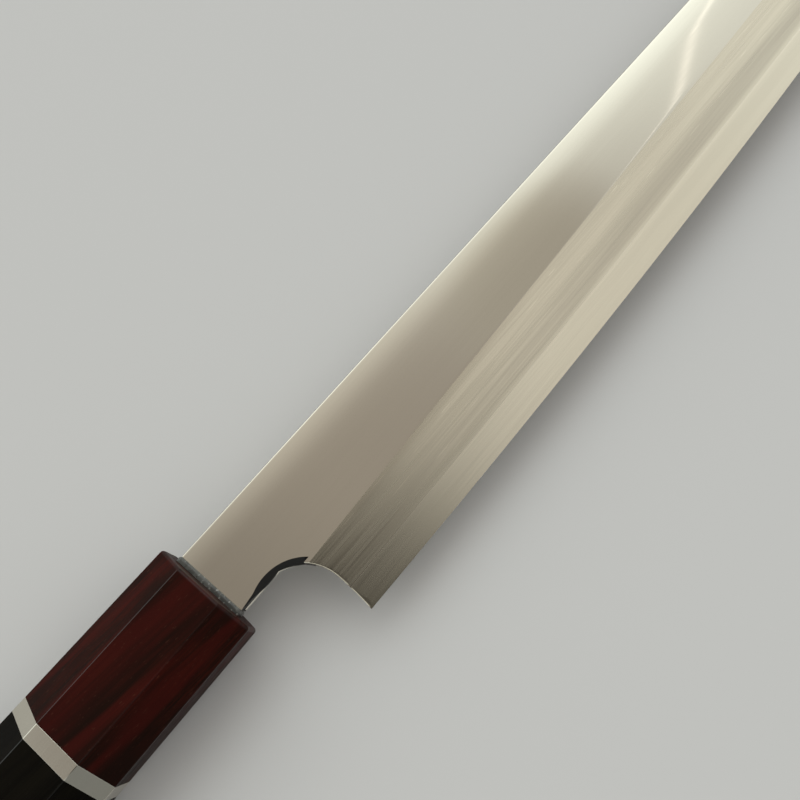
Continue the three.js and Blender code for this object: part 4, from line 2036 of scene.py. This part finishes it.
    def build(self, shop: Workshop) -> bpy.types.Object:
        """Closes the loops into one piece with a finish for each of its faces.

        Args:
            shop: the shared groups.

        Returns:
            The piece.
        """
        loops, kinds, down = self.loops()
        tang = self.tang_loops(loops[0])
        tip = np.repeat(loops[-1].mean(axis=0)[None], loops.shape[1], 0)[None]
        shell = np.concatenate([tang, loops, tip])
        groups = np.pad(kinds, ((len(tang), 0), (0, 0)), constant_values=int(CladdingFace.WALL))
        finishes = (POLISHED_FLAT, SCOOP_PAINTED_REFLECTION, POLISHED_WALL, STONE_BEVEL, SATIN_BACK)
        materials = [finish.material(shop) for finish in finishes]
        attributes = {DOWN_BEVEL: np.pad(down, ((len(tang), 1), (0, 0)), mode="edge")}
        return self.piece("blade_cladding", "soft_steel", shell, groups, materials, attributes)


class SteelFace(IntEnum):
    """Faces of the edge steel, each with its own finish."""

    WELD = 0
    BAND = 1
    WALL = 2
    RIM = 3
    HOLLOW = 4


@dataclass
class EdgeSteel(BladePiece):
    """The hard steel on the blade's back, with the edge and the hollow."""

    # Columns of the stretches
    heel_end: float = 30.0
    heel_ease: float = 30.0
    fan_columns: int = 28
    heel_columns: int = 22
    near_columns: int = 31

    # Rows of a loop
    weld_rows: int = 3
    band_rows: int = 8
    rim_rows: int = 2
    rim_most: float = 0.25
    rim_parts: float = 40.0
    hollow_rows: int = 12
    round_rows: int = 5
    ease_most: float = 0.125

    def stations(self) -> np.ndarray:
        """Lists the columns: close together at the heel and along the tip's curve.

        Returns:
            The x of each column on the spine.
        """
        return np.unique(np.concatenate([
            np.linspace(self.form.steel_start, self.fan_end, self.fan_columns),
            np.linspace(self.fan_end, self.heel_end, self.heel_columns),
            np.linspace(self.heel_end, self.close_end, self.near_columns),
            self.far_stations(),
        ]))

    def rails(self, t: np.ndarray) -> tuple[np.ndarray, np.ndarray]:
        """Finds the band's upper and lower ends: the notch's wall, then the weld and the edge.

        On the wall the columns go down evenly in y, first to the weld and then to the heel.

        Args:
            t: columns.

        Returns:
            The x and y of the upper and of the lower end in each column.
        """
        form = self.form
        centre_x, centre_y = form.notch
        first_y = centre_y + math.sqrt(form.notch_radius**2 - (form.steel_start - centre_x) ** 2)
        weld_y = form.lowest
        for _ in range(SETTLE_ROUNDS):
            weld_y = float(form.lamination_y(form.rail_x(weld_y), 0.0))
        heel_y = float(form.edge_y(form.heel))
        fan_y = np.interp(t, [form.steel_start, self.fan_end], [first_y, weld_y])
        heel_rail_y = np.interp(t, [self.fan_end, self.heel_end], [weld_y, heel_y])
        lag = self.fan_end - float(form.rail_x(weld_y))
        weld_x = trailing(t, self.fan_end, lag, self.fan_ease)
        edge_x = trailing(t, self.heel_end, self.heel_end - form.heel, self.heel_ease)
        fan = t <= self.fan_end
        upper = np.stack([
            np.where(fan, form.rail_x(fan_y), weld_x),
            np.where(fan, fan_y, form.lamination_y(weld_x, 0.0)),
        ], axis=-1)
        cases = [fan, t <= self.heel_end]
        lower = np.stack([
            np.select(cases, [form.rail_x(fan_y), form.rail_x(heel_rail_y)], edge_x),
            np.select(cases, [fan_y, heel_rail_y], form.edge_y(edge_x)),
        ], axis=-1)
        return upper, lower

    def loops(self) -> tuple[np.ndarray, np.ndarray, np.ndarray]:
        """Makes each column's closed loop of points round the steel.

        A loop runs down the weld, down the band to the edge, in along the wall, then over the
        rim, the hollow and the other rim to the spine. The hollow's lift is its depth at x
        times 1 - (2a - 1)², where a is the share of the way across it.

        Returns:
            Columns by rows by x, y and z; the face that follows each row; and the share of the
            way down the band.
        """
        form = self.form
        t = self.stations()
        upper, lower = self.rails(t)
        weld_top = np.stack([t, np.full_like(t, form.spine), t], axis=-1)
        weld = between(weld_top, np.concatenate([upper, t[:, None]], axis=-1), self.weld_rows)
        weld = np.concatenate([weld_top[:, None], weld], axis=1)
        weld[..., 2] = form.back + form.layer(weld[..., 0])
        band_foot = np.concatenate([lower, weld[:, -1, 2:]], axis=-1)
        down = corner_shares(weld[:, -1], band_foot, self.band_rows)
        band = along(weld[:, -1], band_foot, down)
        sharp = form.bevel_z(band[..., 0], band[..., 1])
        worn = form.eased(band[..., 0], band[..., 1], sharp, form.back)
        band[..., 2] = np.where((t > self.fan_end)[:, None], worn, band[..., 2])
        foot = np.stack([lower[:, 0], lower[:, 1], np.full_like(t, form.back)], axis=-1)

        tall = form.height(t)
        ease = np.minimum(np.minimum(form.ease, form.layer(t) / 2), tall * self.ease_most)
        rim_end = form.edge_y(t) + np.minimum(form.hollow_edge_rim, tall * self.rim_most)
        hollow_end = form.spine - np.minimum(form.hollow_spine_rim, tall * self.rim_most)
        least = lower[:, 1] + (hollow_end - lower[:, 1]) / self.rim_parts
        hollow_start = np.maximum(rim_end, least)
        top = np.stack([t, form.spine - ease, foot[:, 2]], axis=-1)

        def on_back(y: np.ndarray) -> np.ndarray:
            """Puts a y on the straight line across the back from the foot to the spine."""
            share = (y - foot[:, 1]) / (top[:, 1] - foot[:, 1])
            return np.stack([foot[:, 0] + (t - foot[:, 0]) * share, y, foot[:, 2]], axis=-1)

        rim = between(foot, on_back(hollow_start), self.rim_rows)
        hollow = between(rim[:, -1], on_back(hollow_end), self.hollow_rows)
        across = (hollow[..., 1] - rim_end[:, None]) / (hollow_end - rim_end)[:, None]
        lift = np.maximum(0.0, 1.0 - (2.0 * across - 1.0) ** 2)
        hollow[..., 2] += form.hollow_at(hollow[..., 0]) * lift
        far_rim = between(on_back(hollow_end), top, self.rim_rows)
        turn = np.linspace(0.0, math.pi / 2, self.round_rows)[1:]
        corner_y = form.spine - ease[:, None] * (1.0 - np.sin(turn))
        corner_z = form.back + ease[:, None] * (1.0 - np.cos(turn))
        corner = np.stack([np.repeat(t[:, None], len(turn), 1), corner_y, corner_z], axis=-1)

        strips = [
            (weld, SteelFace.WELD),
            (band, SteelFace.BAND),
            (foot[:, None], SteelFace.WALL),
            (rim, SteelFace.RIM),
            (hollow, SteelFace.HOLLOW),
            (far_rim, SteelFace.RIM),
            (corner, SteelFace.RIM),
        ]
        loops = np.concatenate([rows for rows, _ in strips], axis=1)
        kinds = np.concatenate([np.full(rows.shape[1], int(kind)) for rows, kind in strips])
        after = np.roll(kinds, -1)
        after[-1] = int(SteelFace.RIM)
        first = weld.shape[1]
        last = first + down.shape[1]
        down_band = np.zeros(loops.shape[:2])
        down_band[:, first:last] = down
        down_band[:, last:] = 1.0
        return loops, after, down_band

    def build(self, shop: Workshop) -> bpy.types.Object:
        """Closes the loops into one piece with a finish for each of its faces.

        Args:
            shop: the shared groups.

        Returns:
            The piece.
        """
        loops, kinds, down = self.loops()
        ends = np.repeat(loops[[0, -1]].mean(axis=1)[:, None], loops.shape[1], 1)
        shell = np.concatenate([ends[:1], loops, ends[1:]])
        groups = np.repeat(kinds[None], len(shell) - 1, 0)
        groups[0] = int(SteelFace.WELD)
        finishes = (SATIN_BACK, HARD_STEEL, POLISHED_WALL, POLISHED_RIM, HOLLOW_BACK)
        materials = [finish.material(shop) for finish in finishes]
        attributes = {DOWN_BAND: np.pad(down, ((1, 1), (0, 0)), mode="edge")}
        return self.piece("edge_steel", "hard_steel", shell, groups, materials, attributes)


# Studio

@dataclass(frozen=True)
class Patch:
    """A soft round patch of the tent: its colour, its direction and the cosines of its border."""

    colour: Colour
    toward: Triple
    zone: Span


@dataclass
class Studio:
    """The floor, the light and the camera."""

    # Floor
    floor_half_width: float = 2.0
    floor_drop: float = 0.0002
    floor_colour: Colour = (0.66, 0.645, 0.63)
    floor_roughness: float = 0.9
    floor_specular: float = 0.1

    # Tent of light
    overhead: Colour = (0.45, 0.414, 0.378)
    overhead_zone: Span = (0.67, 0.995)
    around: Colour = (1.05, 1.085, 1.07)
    spine_light: Colour = (1.72, 1.78, 1.80)
    spine_across: Triple = (0.12, 1.0, 0.0)
    spine_zone: Span = (0.20, 0.34)
    spine_light_height: Span = (0.34, 0.52)
    edge_side: float = 0.34
    edge_side_zone: Span = (-0.45, -0.85)
    butt_side: float = 0.78
    butt_side_zone: Span = (0.15, -0.10)
    patches: tuple[Patch, ...] = (
        Patch((0.05, 0.045, 0.038), (-0.06, -0.48, 0.88), (0.870, 0.985)),
        Patch((0.92, 0.915, 0.88), (0.45, -0.40, 0.80), (0.925, 0.990)),
        Patch((0.53, 0.506, 0.460), (0.44, 0.13, 0.888), (0.9885, 0.9994)),
    )
    strip: Colour = (1.75, 1.75, 1.72)
    strip_across: Triple = (-0.64, 1.0, 0.0)
    strip_place: float = -0.283
    strip_half_width: float = 0.0065
    strip_zone: Span = (0.50, 0.62)

    # Camera
    camera_place: Triple = (-62.631, -32.130, 179.107)
    camera_right: Triple = (0.64369, -0.76524, -0.00791)
    camera_down: Triple = (-0.73134, -0.61206, -0.30086)
    lens: float = 38.25
    sensor: float = 36.0

    def build(self) -> None:
        """Sets up floor, world, camera and view."""
        self.floor()
        self.world()
        self.camera()
        bpy.context.scene.view_settings.view_transform = "Standard"

    def floor(self) -> None:
        """Lays a plain pale floor just under the knife."""
        reach = np.array([-self.floor_half_width, self.floor_half_width])
        x, y = np.meshgrid(reach, reach)
        points = np.stack([x, y, np.full_like(x, -self.floor_drop)], axis=-1).reshape(-1, 3)
        mesh = bpy.data.meshes.new("floor")
        mesh.from_pydata(points.tolist(), [], [[0, 1, 3, 2]])
        material = bpy.data.materials.new("pale_floor")
        material.use_nodes = True
        shader = material.node_tree.nodes["Principled BSDF"]
        shader.inputs["Base Color"].default_value = (*self.floor_colour, 1.0)
        shader.inputs["Roughness"].default_value = self.floor_roughness
        shader.inputs["Specular IOR Level"].default_value = self.floor_specular
        mesh.materials.append(material)
        floor = bpy.data.objects.new("floor", mesh)
        bpy.context.scene.collection.objects.link(floor)

    def world(self) -> None:
        """Makes a soft tent of light: dim overhead, bright around and brightest over the spine.

        It is dimmer far out on the edge's side and behind the handle, has a few soft patches,
        and a narrow strip of light stands ahead. Each zone is a span of the direction's part
        along a vector; for a vector of length 1 that is the cosine of the angle to it.
        """
        world = bpy.data.worlds.new("studio")
        bpy.context.scene.world = world
        world.use_nodes = True
        world.node_tree.nodes.clear()
        board = NodeBoard(world.node_tree)
        direction = board.add("ShaderNodeTexCoord", {}).outputs["Generated"]

        def toward(vector: Triple) -> bpy.types.NodeSocket:
            """Gives the direction's part along a vector."""
            inputs = {0: direction, 1: vector}
            return board.add("ShaderNodeVectorMath", inputs, operation="DOT_PRODUCT").outputs["Value"]

        up = toward((0.0, 0.0, 1.0))
        colour = board.mix(board.spread(up, *self.overhead_zone), self.around, self.overhead)
        for patch in self.patches:
            inside = board.spread(toward(tuple(Vector(patch.toward).normalized())), *patch.zone)
            colour = board.mix(inside, colour, patch.colour)
        offset = board.math("SUBTRACT", toward(self.strip_across), self.strip_place)
        ahead = toward((1.0, 0.0, 0.0))
        strip = board.spread(board.math("ABSOLUTE", offset), self.strip_half_width, 0.0)
        strip = board.math("MULTIPLY", strip, board.spread(ahead, *self.strip_zone))
        colour = board.mix(strip, colour, self.strip)
        over_spine = board.spread(toward(self.spine_across), *self.spine_zone)
        over_spine = board.math("MULTIPLY", over_spine, board.spread(up, *self.spine_light_height))
        gain = board.mix(over_spine, (1.0, 1.0, 1.0), self.spine_light)
        colour = board.mix(1.0, colour, gain, "MULTIPLY")
        across = toward((0.0, 1.0, 0.0))
        edge_side = board.spread(across, *self.edge_side_zone, 1.0, self.edge_side)
        butt_side = board.spread(ahead, *self.butt_side_zone, 1.0, self.butt_side)
        strength = board.math("MULTIPLY", edge_side, butt_side)
        light = board.add("ShaderNodeBackground", {"Color": colour, "Strength": strength})
        board.add("ShaderNodeOutputWorld", {"Surface": light.outputs[0]})

    def camera(self) -> None:
        """Places the camera where the photograph was taken from."""
        right = Vector(self.camera_right)
        up = -Vector(self.camera_down)
        behind = right.cross(up)
        turned = Matrix((right, up, behind)).transposed().to_4x4()
        camera = bpy.data.cameras.new("photo_camera")
        camera.sensor_width = self.sensor
        camera.lens = self.lens
        camera.clip_start = MM
        stand = bpy.data.objects.new("photo_camera", camera)
        stand.matrix_world = Matrix.Translation(Vector(self.camera_place) * MM) @ turned
        bpy.context.scene.collection.objects.link(stand)
        bpy.context.scene.camera = stand


def main() -> None:
    """Builds the studio and every piece of the knife in order."""
    logging.basicConfig(level=logging.INFO, format="%(message)s")
    shop = Workshop()
    Studio().build()
    place = KnifeFrame.from_ferrule()
    form = HandleForm()
    for part in (Ferrule, SpacerRing, HandleBody, TangSeal):
        part(place, form).build(shop)
    HandleCore().dress(shop)
    blade = BladeForm.from_nodes(place)
    for part in (BladeCladding, EdgeSteel):
        part(place, blade).build(shop)


if __name__ == "__main__":
    main()
